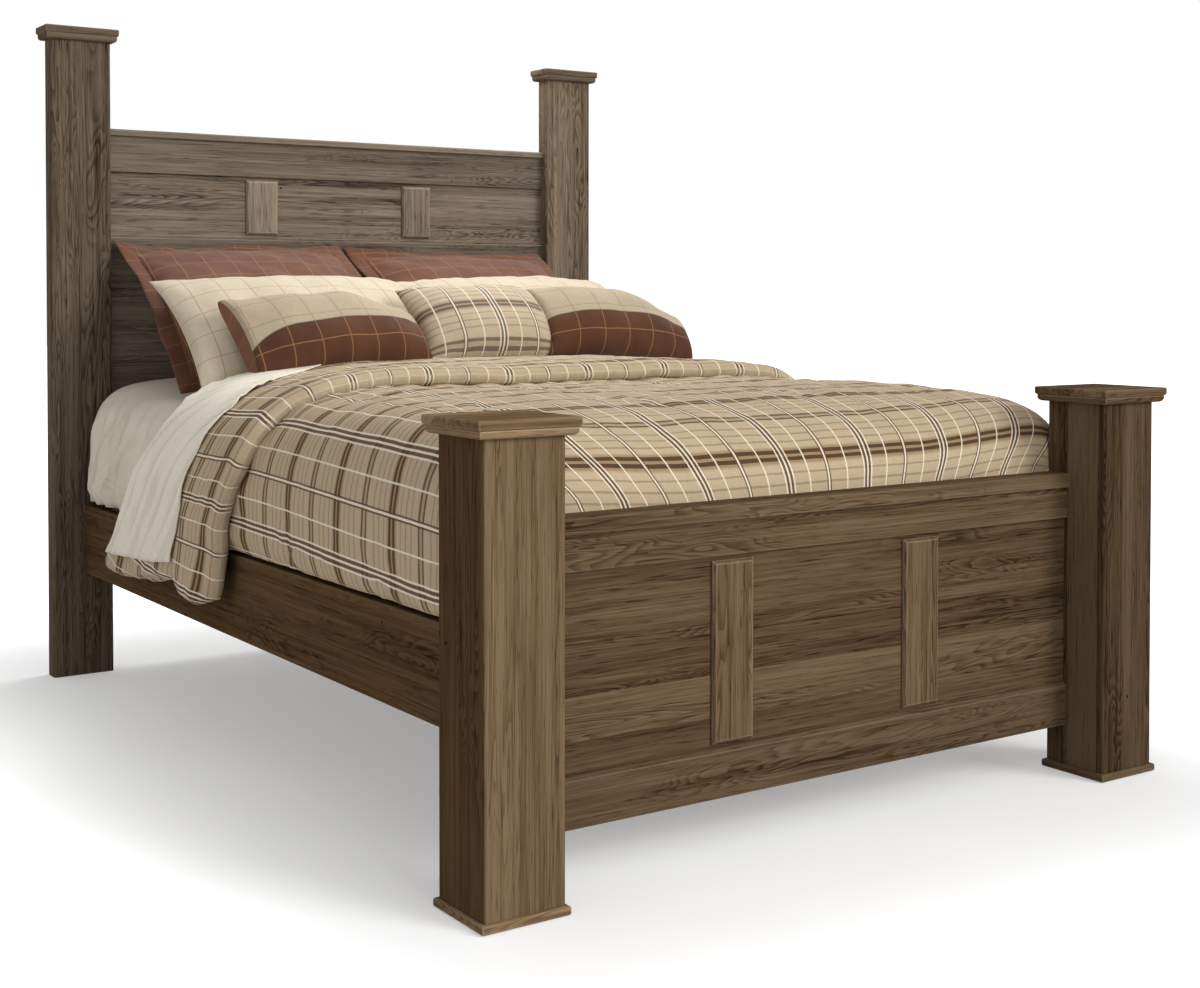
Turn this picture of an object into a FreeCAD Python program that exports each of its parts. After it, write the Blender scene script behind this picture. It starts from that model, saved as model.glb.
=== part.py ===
# A queen bed with panelled boards between capped posts, hook-on side rails and its bedding.
# X runs across the bed, Y from foot to head and Z up, from the middle of the footprint on the floor.
import FreeCAD, Part
import math
import os
import re
import Sketcher
from FreeCAD import Rotation, Vector

doc = FreeCAD.newDocument("PosterBed")

# Driving sizes in millimetres and degrees, with plain counts and shares
SIZES = {
    # Posts and their caps
    "foot_post_outset": 54.5,
    "foot_height": 846,
    "foot_post_width": 163,
    "foot_post_depth": 153,
    "head_post_outset": 86.5,
    "head_height": 1780,
    "head_post_width": 166,
    "head_post_depth": 57,
    "post_wall": 18,
    "head_post_skin": 14,
    "post_sole": 45,
    "post_edge_radius": 7,
    "foot_cap_overhang": 20,
    "foot_cap_board": 18,
    "foot_cap_moulding": 14,
    "head_cap_overhang": 18,
    "head_cap_board": 20,
    "head_cap_moulding": 16,
    "cap_top_radius": 3,
    "cap_under_radius": 6,
    "cap_reveal": 4,
    "cap_moulding_radius": 9,
    "base_height": 17,
    "base_overhang": 6,
    "base_radius": 5,
    # Side rails and what they carry
    "rail_length": 2070,
    "rail_span": 1604,
    "rail_thickness": 28,
    "rail_height": 188,
    "rail_bottom": 281,
    "rail_edge_radius": 3,
    "ledger_thickness": 25,
    "ledger_height": 40,
    "ledger_rise": 41,
    "ledger_end_gap": 10,
    "slat_width": 80,
    "slat_thickness": 20,
    "slat_pitch": 640,
    "slat_end_gap": 3,
    "leg_width": 45,
    "leg_foot_gap": 30,
    "leg_bore": 11,
    "leg_bore_depth": 62,
    "insert_diameter": 16,
    "insert_length": 18,
    "insert_flange": 24,
    "insert_flange_thickness": 2,
    "leveller_stem": 8,
    "leveller_reach": 62,
    "leveller_pad": 36,
    "leveller_pad_height": 9,
    "leveller_pad_bevel": 2,
    # Footboard
    "foot_setback": 97,
    "foot_board_thickness": 47,
    "foot_top_drop": 188,
    "foot_moulding_height": 30,
    "foot_moulding_projection": 6,
    "foot_moulding_depth": 59,
    "foot_top_rail_height": 67,
    "foot_bottom": 105,
    "foot_bottom_rail_height": 93,
    "foot_panel_setback": 9,
    "foot_panel_thickness": 12,
    # Headboard
    "head_setback": 33,
    "head_board_thickness": 20,
    "head_top_drop": 269,
    "head_moulding_height": 18,
    "head_moulding_projection": 9,
    "head_moulding_depth": 31,
    "head_top_rail_height": 100,
    "head_opening": 178,
    "head_middle_rail_height": 110,
    "head_bottom": 281,
    "head_bottom_rail_height": 120,
    "head_panel_setback": 9,
    "head_panel_thickness": 8,
    # Joinery shared by both boards
    "moulding_radius": 5,
    "ledge_bevel": 7,
    "groove_depth": 8,
    "pilaster_width": 100,
    "pilaster_thickness": 10,
    "pilaster_bevel": 6,
    "pilaster_gap": 9,
    "dowel_diameter": 10,
    "dowel_length": 34,
    "dowel_pitch": 36,
    # Hook plates, slotted plates, bolts and screws
    "hook_plate_thickness": 3,
    "hook_plate_length": 90,
    "hook_plate_height": 112,
    "hook_plate_rise": 117,
    "hook_neck": 14,
    "hook_lip": 8,
    "hook_lip_thickness": 5,
    "hook_drop": 10,
    "slot_plate_width": 30,
    "slot_plate_height": 130,
    "slot_plate_thickness": 3,
    "bolt_diameter": 8,
    "bolt_head": 16,
    "bolt_head_height": 4,
    "bolt_recess": 1,
    "hook_bolt_pitch": 66,
    "hook_bolt_inset": 20,
    "ledger_bolt_start": 447,
    "ledger_bolt_pitch": 631,
    "screw_diameter": 5,
    "screw_length": 34,
    "screw_head": 10,
    "screw_head_height": 3,
    # Mattress and foundation
    "foundation_gap": 7,
    "foundation_radius": 14,
    "mattress_rise": 11,
    "mattress_side_inset": 7,
    "mattress_head_gap": 4,
    "mattress_height": 345,
    "mattress_tuck": 20,
    "mattress_shoulder": 230,
    "mattress_end_radius": 112,
    # Sheets and comforter
    "sheet_thickness": 2.5,
    "comforter_thickness": 22,
    "comforter_foot_gap": 6,
    "cuff_thickness": 20,
    "cuff_width": 560,
    "cuff_pillow_gap": 70,
    "cuff_nose": 10,
    "flat_sheet_width": 200,
    "flap_hem": 335,
    "flap_stand_off": 2,
    "flap_thickness": 28,
    "flap_foot_reach": 390,
    "flap_head_reach": 390,
    "flap_fold_rise": 12,
    "flap_folds": 5,
    "sheet_flap_hem": 385,
    "sheet_flap_foot_reach": 80,
    "sheet_flap_head_reach": 358,
    "sheet_flap_folds": 3,
    "sheet_flap_rise": 5,
    # Pillows, all leaning back at one angle
    "pillow_lean": 44,
    "pillow_edge": 10,
    "pillow_pinch_share": 0.07,
    "brown_height": 530,
    "brown_thickness": 112,
    "brown_flange": 42,
    "brown_flange_thickness": 6,
    "brown_middle_gap": 16,
    "brown_side_gap": 14,
    "cream_width": 680,
    "cream_height": 350,
    "cream_thickness": 105,
    "cream_middle_gap": 40,
    "cream_offset": 30,
    "plaid_width": 420,
    "plaid_height": 262,
    "plaid_thickness": 130,
    "plaid_offset": 85,
    "accent_width": 490,
    "accent_height": 250,
    "accent_thickness": 150,
    "accent_overlap": 45,
    "accent_forward": 85,
    # Fits and cutting allowance
    "running_clearance": 0.05,
    "panel_clearance": 0.2,
    "bolt_clearance": 0.4,
    "hook_clearance": 0.4,
    "soft_clearance": 0.4,
    "pillow_clearance": 4,
    "overrun": 5,
}

# Places and sizes that follow from the driving sizes
PLACES = {
    "board_depths": "foot_post_depth + rail_length + head_post_depth",
    "overall_length": "foot_cap_overhang + board_depths + head_cap_overhang",
    "foot_face": "foot_cap_overhang - overall_length / 2",
    "foot_back": "foot_face + foot_post_depth",
    "head_face": "foot_back + rail_length",
    "foot_span": "rail_span + 2 * foot_post_outset",
    "head_span": "rail_span + 2 * head_post_outset",
    "foot_post_x": "(foot_span - foot_post_width) / 2",
    "foot_post_y": "foot_face + foot_post_depth / 2",
    "head_post_x": "(head_span - head_post_width) / 2",
    "head_post_y": "head_face + head_post_depth / 2",
    "foot_inner": "foot_span - 2 * foot_post_width",
    "head_inner": "head_span - 2 * head_post_width",
    "foot_post_top": "foot_height - foot_cap_board",
    "head_post_top": "head_height - head_cap_board",
    "foot_board_y": "foot_face + foot_setback",
    "head_board_y": "head_face + head_setback",
    "foot_rail_top": "foot_height - foot_top_drop - foot_moulding_height",
    "foot_panel_top": "foot_rail_top - foot_top_rail_height",
    "foot_ledge": "foot_bottom + foot_bottom_rail_height",
    "head_rail_top": "head_height - head_top_drop - head_moulding_height",
    "head_panel_top": "head_rail_top - head_top_rail_height",
    "head_ledge": "head_panel_top - head_opening",
    "head_middle_bottom": "head_ledge - head_middle_rail_height",
    "head_bottom_top": "head_bottom + head_bottom_rail_height",
    "foot_pilaster_x": "foot_inner / 6 + pilaster_width / 6",
    "head_pilaster_x": "head_inner / 6 + pilaster_width / 6",
    "rail_x": "(rail_span - rail_thickness) / 2",
    "rail_inner": "rail_span / 2 - rail_thickness",
    "rail_top": "rail_bottom + rail_height",
    "rail_y": "foot_back + rail_length / 2",
    "ledger_bottom": "rail_bottom + ledger_rise",
    "ledger_top": "ledger_bottom + ledger_height",
    "slat_top": "ledger_top + slat_thickness",
    "hook_plate_centre": "rail_bottom + hook_plate_rise",
    "hook_x": "rail_inner - hook_plate_thickness / 2",
    "hook_reach": "slot_plate_thickness + hook_clearance + hook_lip_thickness",
    "mattress_width": "rail_span - 2 * mattress_side_inset",
    "mattress_bottom": "rail_top + mattress_rise",
    "mattress_top": "mattress_bottom + mattress_height",
    "shoulder_height": "mattress_top - mattress_shoulder",
    "fitted_inner": "soft_clearance",
    "fitted_outer": "fitted_inner + sheet_thickness",
    "comforter_inner": "fitted_outer + soft_clearance",
    "comforter_outer": "comforter_inner + comforter_thickness",
    "cuff_outer": "comforter_outer + cuff_thickness",
    "flat_inner": "cuff_outer + soft_clearance",
    "flat_outer": "flat_inner + sheet_thickness",
    "footboard_back": "foot_board_y - foot_moulding_projection + foot_moulding_depth",
    "comforter_foot": "max(foot_back; footboard_back) + comforter_foot_gap",
    "mattress_foot": "comforter_foot + comforter_outer",
    "mattress_head": "head_face - mattress_head_gap - fitted_outer",
    "foundation_half": "rail_inner - hook_plate_thickness - bolt_head_height - foundation_gap",
    "brown_width": "head_inner / 2 - brown_middle_gap / 2 - brown_side_gap",
    "brown_centre": "(brown_middle_gap + brown_width) / 2",
    "cream_centre": "(cream_middle_gap + cream_width) / 2",
}

# The sheet that holds the driving sizes, and the set of places that follow them
sheet = doc.addObject("Spreadsheet::Sheet", "Sizes")
for row, (word, number) in enumerate(SIZES.items(), start=1):
    sheet.set(f"A{row}", word)
    sheet.set(f"B{row}", str(number))
    sheet.setAlias(f"B{row}", word)
doc.recompute()
places = doc.addObject("App::VarSet", "Places")


def linked(text):
    """Expression text in which each size or place is written with the object that holds it."""
    def with_owner(match):
        word = match.group()
        if word in SIZES:
            return "Sizes." + word
        return "Places." + word if word in PLACES else word
    return re.sub(r"[a-z][a-z_0-9]*", with_owner, text)


def bind(item, quantity, text):
    item.setExpression(quantity, linked(text))


for word, text in PLACES.items():
    places.addProperty("App::PropertyFloat", word, "Places")
    bind(places, word, text)
doc.recompute()


def amount(word):
    """The number that a size or place has now."""
    return float(sheet.get(word)) if word in SIZES else float(getattr(places, word))


NODES = {}
SIDES = {"left": -1, "right": 1}


def keep(name, item):
    """Names a finished sub-part."""
    item.Label = name
    NODES[name] = item
    return item


def place(item, spot):
    for axis, text in zip("xyz", spot):
        bind(item, f"Placement.Base.{axis}", text)
    return item


# Plain solids: boxes by their middle and underside, rods along one axis
def block(name, middle, underside, extent):
    box = doc.addObject("Part::Box", name)
    for side, text in zip(("Length", "Width", "Height"), extent):
        bind(box, side, text)
    corner = [f"{at} - ({size}) / 2" for at, size in zip(middle, extent)]
    return place(box, corner + [underside])


TURNS = {"x": Rotation(Vector(0, 1, 0), 90), "y": Rotation(Vector(1, 0, 0), -90), "z": Rotation()}


def rod(name, start, axis, diameter, length):
    cylinder = doc.addObject("Part::Cylinder", name)
    cylinder.Placement.Rotation = TURNS[axis]
    bind(cylinder, "Radius", f"({diameter}) / 2")
    bind(cylinder, "Height", length)
    return place(cylinder, start)


def joined(name, pieces):
    union = doc.addObject("Part::MultiFuse", name)
    union.Shapes = pieces
    return union


def group(name, pieces):
    """Several like pieces that stay separate solids of one node."""
    several = doc.addObject("Part::Compound", name)
    several.Links = pieces
    return several


def carved(name, base, cutters):
    cut = doc.addObject("Part::Cut", name)
    cut.Base = base
    cut.Tool = cutters[0] if len(cutters) == 1 else joined(name + "_cutters", cutters)
    return cut


# Sketched bodies
def origin_plane(body, role):
    return next(part for part in body.Origin.OriginFeatures if part.Role == role)


def sketch_on(body, name, role, lift=None):
    sketch = body.newObject("Sketcher::SketchObject", name)
    sketch.AttachmentSupport = [(origin_plane(body, role), "")]
    sketch.MapMode = "FlatFace"
    if lift:
        bind(sketch, "AttachmentOffset.Base.z", lift)
    return sketch


def closed_lines(sketch, corners):
    """Straight edges joined end to end in a ring; returns their numbers in the sketch."""
    spots = [Vector(x, y, 0) for x, y in corners]
    edges = sketch.addGeometry([Part.LineSegment(a, b) for a, b in zip(spots, spots[1:] + spots[:1])])
    for edge, following in zip(edges, edges[1:] + edges[:1]):
        sketch.addConstraint(Sketcher.Constraint("Coincident", edge, 2, following, 1))
    return edges


UNIT_SQUARE = ((-1, -1), (1, -1), (1, 1), (-1, 1))


def rectangle(sketch, width, height, tag):
    """A rectangle centred on the sketch's origin."""
    low, right, high, left = closed_lines(sketch, UNIT_SQUARE)
    for kind, edge in (("Horizontal", low), ("Horizontal", high), ("Vertical", right), ("Vertical", left)):
        sketch.addConstraint(Sketcher.Constraint(kind, edge))
    sketch.addConstraint(Sketcher.Constraint("Symmetric", low, 1, high, 1, -1, 1))
    for kind, edge, text in (("DistanceX", low, width), ("DistanceY", right, height)):
        index = sketch.addConstraint(Sketcher.Constraint(kind, edge, 1, edge, 2, 1))
        sketch.renameConstraint(index, f"{tag}_{kind}")
        bind(sketch, f"Constraints.{tag}_{kind}", text)


def outline(sketch, corners):
    """A closed outline whose corners are given by two expressions each; "0" puts a corner on an axis."""
    turn = 2 * math.pi / len(corners)
    ring = [(math.cos(turn * step), math.sin(turn * step)) for step in range(len(corners))]
    edges = closed_lines(sketch, ring)
    for edge, (across, along) in zip(edges, corners):
        for kind, text, axis in (("DistanceX", across, -2), ("DistanceY", along, -1)):
            if text == "0":
                sketch.addConstraint(Sketcher.Constraint("PointOnObject", edge, 1, axis))
                continue
            index = sketch.addConstraint(Sketcher.Constraint(kind, -1, 1, edge, 1, 1))
            sketch.renameConstraint(index, f"corner_{edge}_{kind}")
            bind(sketch, f"Constraints.corner_{edge}_{kind}", text)


def pad(body, sketch, length):
    feature = body.newObject("PartDesign::Pad", body.Name + "_pad")
    feature.Profile = sketch
    bind(feature, "Length", length)
    sketch.Visibility = False
    return feature


def dress(body, kind, base, edges, text):
    """A fillet or chamfer on the edges of a feature that pass a test."""
    doc.recompute()
    names = [f"Edge{number}" for number, edge in enumerate(base.Shape.Edges, start=1) if edges(edge)]
    feature = body.newObject("PartDesign::" + kind, f"{base.Name}_{kind.lower()}")
    feature.Base = (base, names)
    bind(feature, "Radius" if kind == "Fillet" else "Size", text)
    return feature


NEAR = 0.001


def upright(edge):
    first, last = edge.firstVertex().Point, edge.lastVertex().Point
    return abs(first.x - last.x) < NEAR and abs(first.y - last.y) < NEAR


def on_rim(edge, base, which):
    """True for an edge of the outer rim at the top or bottom of a body centred on its own origin."""
    box = base.Shape.BoundBox
    middle = edge.CenterOfMass
    outside = abs(abs(middle.x) - box.XMax) < NEAR or abs(abs(middle.y) - box.YMax) < NEAR
    height = box.ZMax if which == "top" else box.ZMin
    return outside and abs(middle.z - height) < NEAR


def on_front(edge, base):
    """True for an edge round a board's front face."""
    return abs(edge.CenterOfMass.y - base.Shape.BoundBox.YMin) < NEAR


def front_edge(edge, base, which):
    """True for the long edge at the top or bottom of a board's front face."""
    box = base.Shape.BoundBox
    middle = edge.CenterOfMass
    height = box.ZMax if which == "top" else box.ZMin
    return abs(middle.y - box.YMin) < NEAR and abs(middle.z - height) < NEAR


def board(name, width, depth, height, spot):
    """A plain board standing on its own origin."""
    body = doc.addObject("PartDesign::Body", name)
    profile = sketch_on(body, name + "_profile", "XY_Plane")
    rectangle(profile, width, depth, "board")
    return place(body, spot), pad(body, profile, height)


# Dowels between cross rails and posts: each hole is cut through both pieces
dowels = []
dowel_holes = {"foot": {"left": [], "right": []}, "head": {"left": [], "right": []}}


def dowel_pair(end, name, middle_y, middle_z):
    holes = []
    for side, sign in SIDES.items():
        for step, half in enumerate((-1, 1)):
            height = f"{middle_z} + {half} * dowel_pitch / 2"
            tag = f"{name}_{side}_{step}"
            start = f"{sign} * {end}_inner / 2 - dowel_length / 2"
            spot = (start, middle_y, height)
            dowels.append(rod("dowel_" + tag, spot, "x", "dowel_diameter", "dowel_length"))
            wide = "dowel_diameter + 2 * running_clearance"
            hole = rod("dowel_hole_" + tag, spot, "x", wide, "dowel_length")
            dowel_holes[end][side].append(hole)
            holes.append(hole)
    return holes


def cross_rail(name, end, underside, height, grooves, bevelled):
    """A rail between two posts, grooved above or below for a panel and dowelled at both ends."""
    middle_y = f"{end}_board_y + {end}_board_thickness / 2"
    spot = ("0", middle_y, underside)
    body, base = board(name + "_board", f"{end}_inner", f"{end}_board_thickness", height, spot)
    if bevelled:
        dress(body, "Chamfer", base, lambda edge: front_edge(edge, base, "top"), "ledge_bevel")
    cutters = dowel_pair(end, name, middle_y, f"{underside} + {height} / 2")
    for edge in grooves:
        low = f"{underside} - overrun" if edge == "below" else f"{underside} + {height} - groove_depth"
        groove_y = f"{end}_board_y + {end}_panel_setback + {end}_panel_thickness / 2"
        wide, deep = f"{end}_inner + 2 * overrun", f"{end}_panel_thickness + panel_clearance"
        size = (wide, deep, "groove_depth + overrun")
        cutters.append(block(f"{name}_groove_{edge}", ("0", groove_y), low, size))
    keep(name, carved(name, body, cutters))


def panel(name, end, low, high):
    """A flat panel let into the rails and posts on all four edges."""
    middle_y = f"{end}_board_y + {end}_panel_setback + {end}_panel_thickness / 2"
    wide, tall = f"{end}_inner + 2 * groove_depth", f"{high} - {low} + 2 * groove_depth"
    keep(name, block(name, ("0", middle_y), f"{low} - groove_depth", (wide, f"{end}_panel_thickness", tall)))


def panel_slots(end, side, low, high):
    """The cut in a post's inner face that takes a panel's end."""
    middle_x = f"{SIDES[side]} * ({end}_inner / 2 + (groove_depth - overrun) / 2)"
    middle_y = f"{end}_board_y + {end}_panel_setback + {end}_panel_thickness / 2"
    deep, tall = f"{end}_panel_thickness + panel_clearance", f"{high} - {low} + 2 * groove_depth"
    size = ("groove_depth + overrun", deep, tall)
    return block(f"{end}_slot_{side}_{low}", (middle_x, middle_y), f"{low} - groove_depth", size)


def plate_room(end, side):
    """The recess for a slotted plate in a post and the room behind it for the hooks."""
    sign = SIDES[side]
    face, inward = ("foot_back", -1) if end == "foot" else ("head_face", 1)
    spaces = []
    for tag, width, depth, height in (
        ("seat", "slot_plate_width", "slot_plate_thickness", "slot_plate_height"),
        ("room", "slot_plate_width / 2", "hook_reach + hook_clearance", "hook_plate_height"),
    ):
        middle = (f"{sign} * hook_x", f"{face} + {inward} * (({depth}) - overrun) / 2")
        low = f"hook_plate_centre - {height} / 2"
        spaces.append(block(f"{end}_{tag}_{side}", middle, low, (width, f"{depth} + overrun", height)))
    return spaces


# Posts are hollow boxes on a solid sole, with eased upright edges
def post(name, end, side, skin, panels):
    sign = SIDES[side]
    width, depth, top = f"{end}_post_width", f"{end}_post_depth", f"{end}_post_top"
    spot = (f"{sign} * {end}_post_x", f"{end}_post_y", "0")
    body, shaft = board(name + "_shaft", width, depth, top, spot)
    dress(body, "Fillet", shaft, upright, "post_edge_radius")
    hollow = sketch_on(body, name + "_hollow", "XY_Plane", "post_sole")
    rectangle(hollow, f"{width} - 2 * post_wall", f"{depth} - 2 * {skin}", "hollow")
    pocket = body.newObject("PartDesign::Pocket", name + "_pocket")
    pocket.Profile = hollow
    pocket.Type = "ThroughAll"
    pocket.Reversed = True
    body.Tip = pocket
    cutters = list(dowel_holes[end][side]) + plate_room(end, side)
    cutters += [panel_slots(end, side, low, high) for low, high in panels]
    keep(name, carved(name, body, cutters))


# Cross rails and panels of the headboard and the footboard
cross_rail("head_top_rail", "head", "head_panel_top", "head_top_rail_height", ["below"], False)
cross_rail("head_middle_rail", "head", "head_middle_bottom", "head_middle_rail_height",
           ["above", "below"], True)
cross_rail("head_bottom_rail", "head", "head_bottom", "head_bottom_rail_height", ["above"], False)
cross_rail("foot_top_rail", "foot", "foot_panel_top", "foot_top_rail_height", ["below"], False)
cross_rail("foot_bottom_rail", "foot", "foot_bottom", "foot_bottom_rail_height", ["above"], True)
HEAD_PANELS = {
    "head_upper_panel": ("head_ledge", "head_panel_top"),
    "head_lower_panel": ("head_bottom_top", "head_middle_bottom"),
}
FOOT_PANELS = {"foot_panel": ("foot_ledge", "foot_panel_top")}
for name, (low, high) in HEAD_PANELS.items():
    panel(name, "head", low, high)
for name, (low, high) in FOOT_PANELS.items():
    panel(name, "foot", low, high)

# Posts
for side in SIDES:
    post(f"head_post_{side}", "head", side, "head_post_skin", HEAD_PANELS.values())
    post(f"foot_post_{side}", "foot", side, "post_wall", FOOT_PANELS.values())


# Top mouldings lie on the top rails and stand forward of them
def top_moulding(end):
    name = f"{end}_top_moulding"
    middle_y = f"{end}_board_y - {end}_moulding_projection + {end}_moulding_depth / 2"
    spot = ("0", middle_y, f"{end}_rail_top")
    body, strip = board(name, f"{end}_inner", f"{end}_moulding_depth", f"{end}_moulding_height", spot)
    dress(body, "Fillet", strip, lambda edge: front_edge(edge, strip, "top"), "moulding_radius")
    keep(name, body)


# Pilasters are boards planted on the panel, bevelled round their front face
def pilaster(end, side, low, high):
    name = f"{end}_pilaster_{side}"
    middle_y = f"{end}_board_y + {end}_panel_setback - pilaster_thickness / 2"
    spot = (f"{SIDES[side]} * {end}_pilaster_x", middle_y, f"{low} + pilaster_gap")
    height = f"{high} - {low} - 2 * pilaster_gap"
    body, slab = board(name, "pilaster_width", "pilaster_thickness", height, spot)
    dress(body, "Chamfer", slab, lambda edge: on_front(edge, slab), "pilaster_bevel")
    keep(name, body)


# Caps are boards with rounded edges on a mitred moulding that goes round the post
def cap(end, side):
    name = f"{end}_cap_{side}"
    middle = (f"{SIDES[side]} * {end}_post_x", f"{end}_post_y")
    wide, deep = [f"{end}_post_{size} + 2 * {end}_cap_overhang" for size in ("width", "depth")]
    body, slab = board(name, wide, deep, f"{end}_cap_board", middle + (f"{end}_post_top",))
    rounded = dress(body, "Fillet", slab, lambda edge: on_rim(edge, slab, "top"), "cap_top_radius")
    dress(body, "Fillet", rounded, lambda edge: on_rim(edge, rounded, "bottom"), "cap_under_radius")
    keep(name, body)
    low, height = f"{end}_post_top - {end}_cap_moulding", f"{end}_cap_moulding"
    collar(f"{end}_cap_moulding_{side}", end, middle, low, height,
           f"{end}_cap_overhang - cap_reveal", {"bottom": "cap_moulding_radius"})


def collar(name, end, middle, underside, height, overhang, rims):
    """A moulding mitred round a post, with rounded outer rims."""
    body = doc.addObject("PartDesign::Body", name)
    profile = sketch_on(body, name + "_profile", "XY_Plane")
    for tag, outward in (("outer", overhang), ("inner", "running_clearance")):
        wide, deep = [f"{end}_post_{size} + 2 * ({outward})" for size in ("width", "depth")]
        rectangle(profile, wide, deep, tag)
    ring = pad(body, profile, height)
    for which, radius in rims.items():
        ring = dress(body, "Fillet", ring, lambda edge: on_rim(edge, ring, which), radius)
    keep(name, place(body, middle + (underside,)))


for end in ("head", "foot"):
    top_moulding(end)
    for side in SIDES:
        cap(end, side)
for side in SIDES:
    pilaster("head", side, *HEAD_PANELS["head_upper_panel"])
    pilaster("foot", side, *FOOT_PANELS["foot_panel"])
    middle = (f"{SIDES[side]} * foot_post_x", "foot_post_y")
    collar(f"foot_base_moulding_{side}", "foot", middle, "0", "base_height", "base_overhang",
           {"top": "base_radius", "bottom": "base_radius"})


# Bolts and screws
def rod_across(name, sign, near, far, y, z, diameter):
    """A rod along X on one side of the bed, between two distances from the middle."""
    start = near if sign > 0 else f"-({far})"
    return rod(name, (start, y, z), "x", diameter, f"({far}) - ({near})")


def bolt(name, sign, seat, y, z):
    """A bolt whose head sits on a face at a distance from the middle, with its end in the rail's face."""
    shank = rod_across(name + "_shank", sign, seat, "rail_span / 2 - bolt_recess", y, z, "bolt_diameter")
    head = rod_across(name + "_head", sign, f"{seat} - bolt_head_height", seat, y, z, "bolt_head")
    return joined(name, [shank, head])


def bolt_hole(name, sign, y, z):
    near = "rail_inner - ledger_thickness - overrun"
    return rod_across(name, sign, near, "rail_span / 2 + overrun", y, z, "bolt_diameter + 2 * bolt_clearance")


RAIL_ENDS = {"foot": ("foot_back", 1), "head": ("head_face", -1)}
BOLT_STEPS = {"front": 0, "middle": 1, "back": 2}
SLAT_STEPS = {"front": -1, "middle": 0, "back": 1}
hook_bolts, ledger_bolts = [], []
hook_holes = {side: {end: [] for end in RAIL_ENDS} for side in SIDES}
ledger_holes = {side: [] for side in SIDES}
for side, sign in SIDES.items():
    for end, (face, inward) in RAIL_ENDS.items():
        for step, half in enumerate((-1, 1)):
            y = f"{face} + {inward} * hook_bolt_inset"
            z = f"hook_plate_centre + {half} * hook_bolt_pitch / 2"
            tag = f"{end}_{side}_{step}"
            hook_bolts.append(bolt("hook_bolt_" + tag, sign, "rail_inner - hook_plate_thickness", y, z))
            hook_holes[side][end].append(bolt_hole("hook_hole_" + tag, sign, y, z))
    for step, count in BOLT_STEPS.items():
        y = f"foot_back + ledger_bolt_start + {count} * ledger_bolt_pitch"
        z = "ledger_bottom + ledger_height / 2"
        ledger_bolts.append(bolt(f"ledger_bolt_{step}_{side}", sign, "rail_inner - ledger_thickness", y, z))
        ledger_holes[side].append(bolt_hole(f"ledger_hole_{step}_{side}", sign, y, z))
keep("hook_bolts", group("hook_bolts", hook_bolts))
keep("ledger_bolts", group("ledger_bolts", ledger_bolts))


def screw(name, x, y, gap):
    """A countersunk screw standing in a slat, larger all round by a gap."""
    shank_foot = (x, y, "slat_top - screw_length")
    shank = rod(name + "_shank", shank_foot, "z", f"screw_diameter + 2 * {gap}", "screw_length")
    head = doc.addObject("Part::Cone", name + "_head")
    bind(head, "Radius1", f"screw_diameter / 2 + {gap}")
    bind(head, "Radius2", f"screw_head / 2 + {gap}")
    bind(head, "Height", "screw_head_height")
    place(head, (x, y, "slat_top - screw_head_height"))
    return joined(name, [shank, head])


screws = []
screw_holes = {}
SCREW_PLACES = {
    "left": "-(rail_inner - ledger_thickness / 2)",
    "centre": "0",
    "right": "rail_inner - ledger_thickness / 2",
}
for step, count in SLAT_STEPS.items():
    for spot, x in SCREW_PLACES.items():
        y = f"rail_y + {count} * slat_pitch"
        screws.append(screw(f"screw_{step}_{spot}", x, y, "0"))
        screw_holes[step, spot] = screw(f"screw_hole_{step}_{spot}", x, y, "running_clearance")
keep("slat_screws", group("slat_screws", screws))
keep("dowels", group("dowels", dowels))

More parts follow.
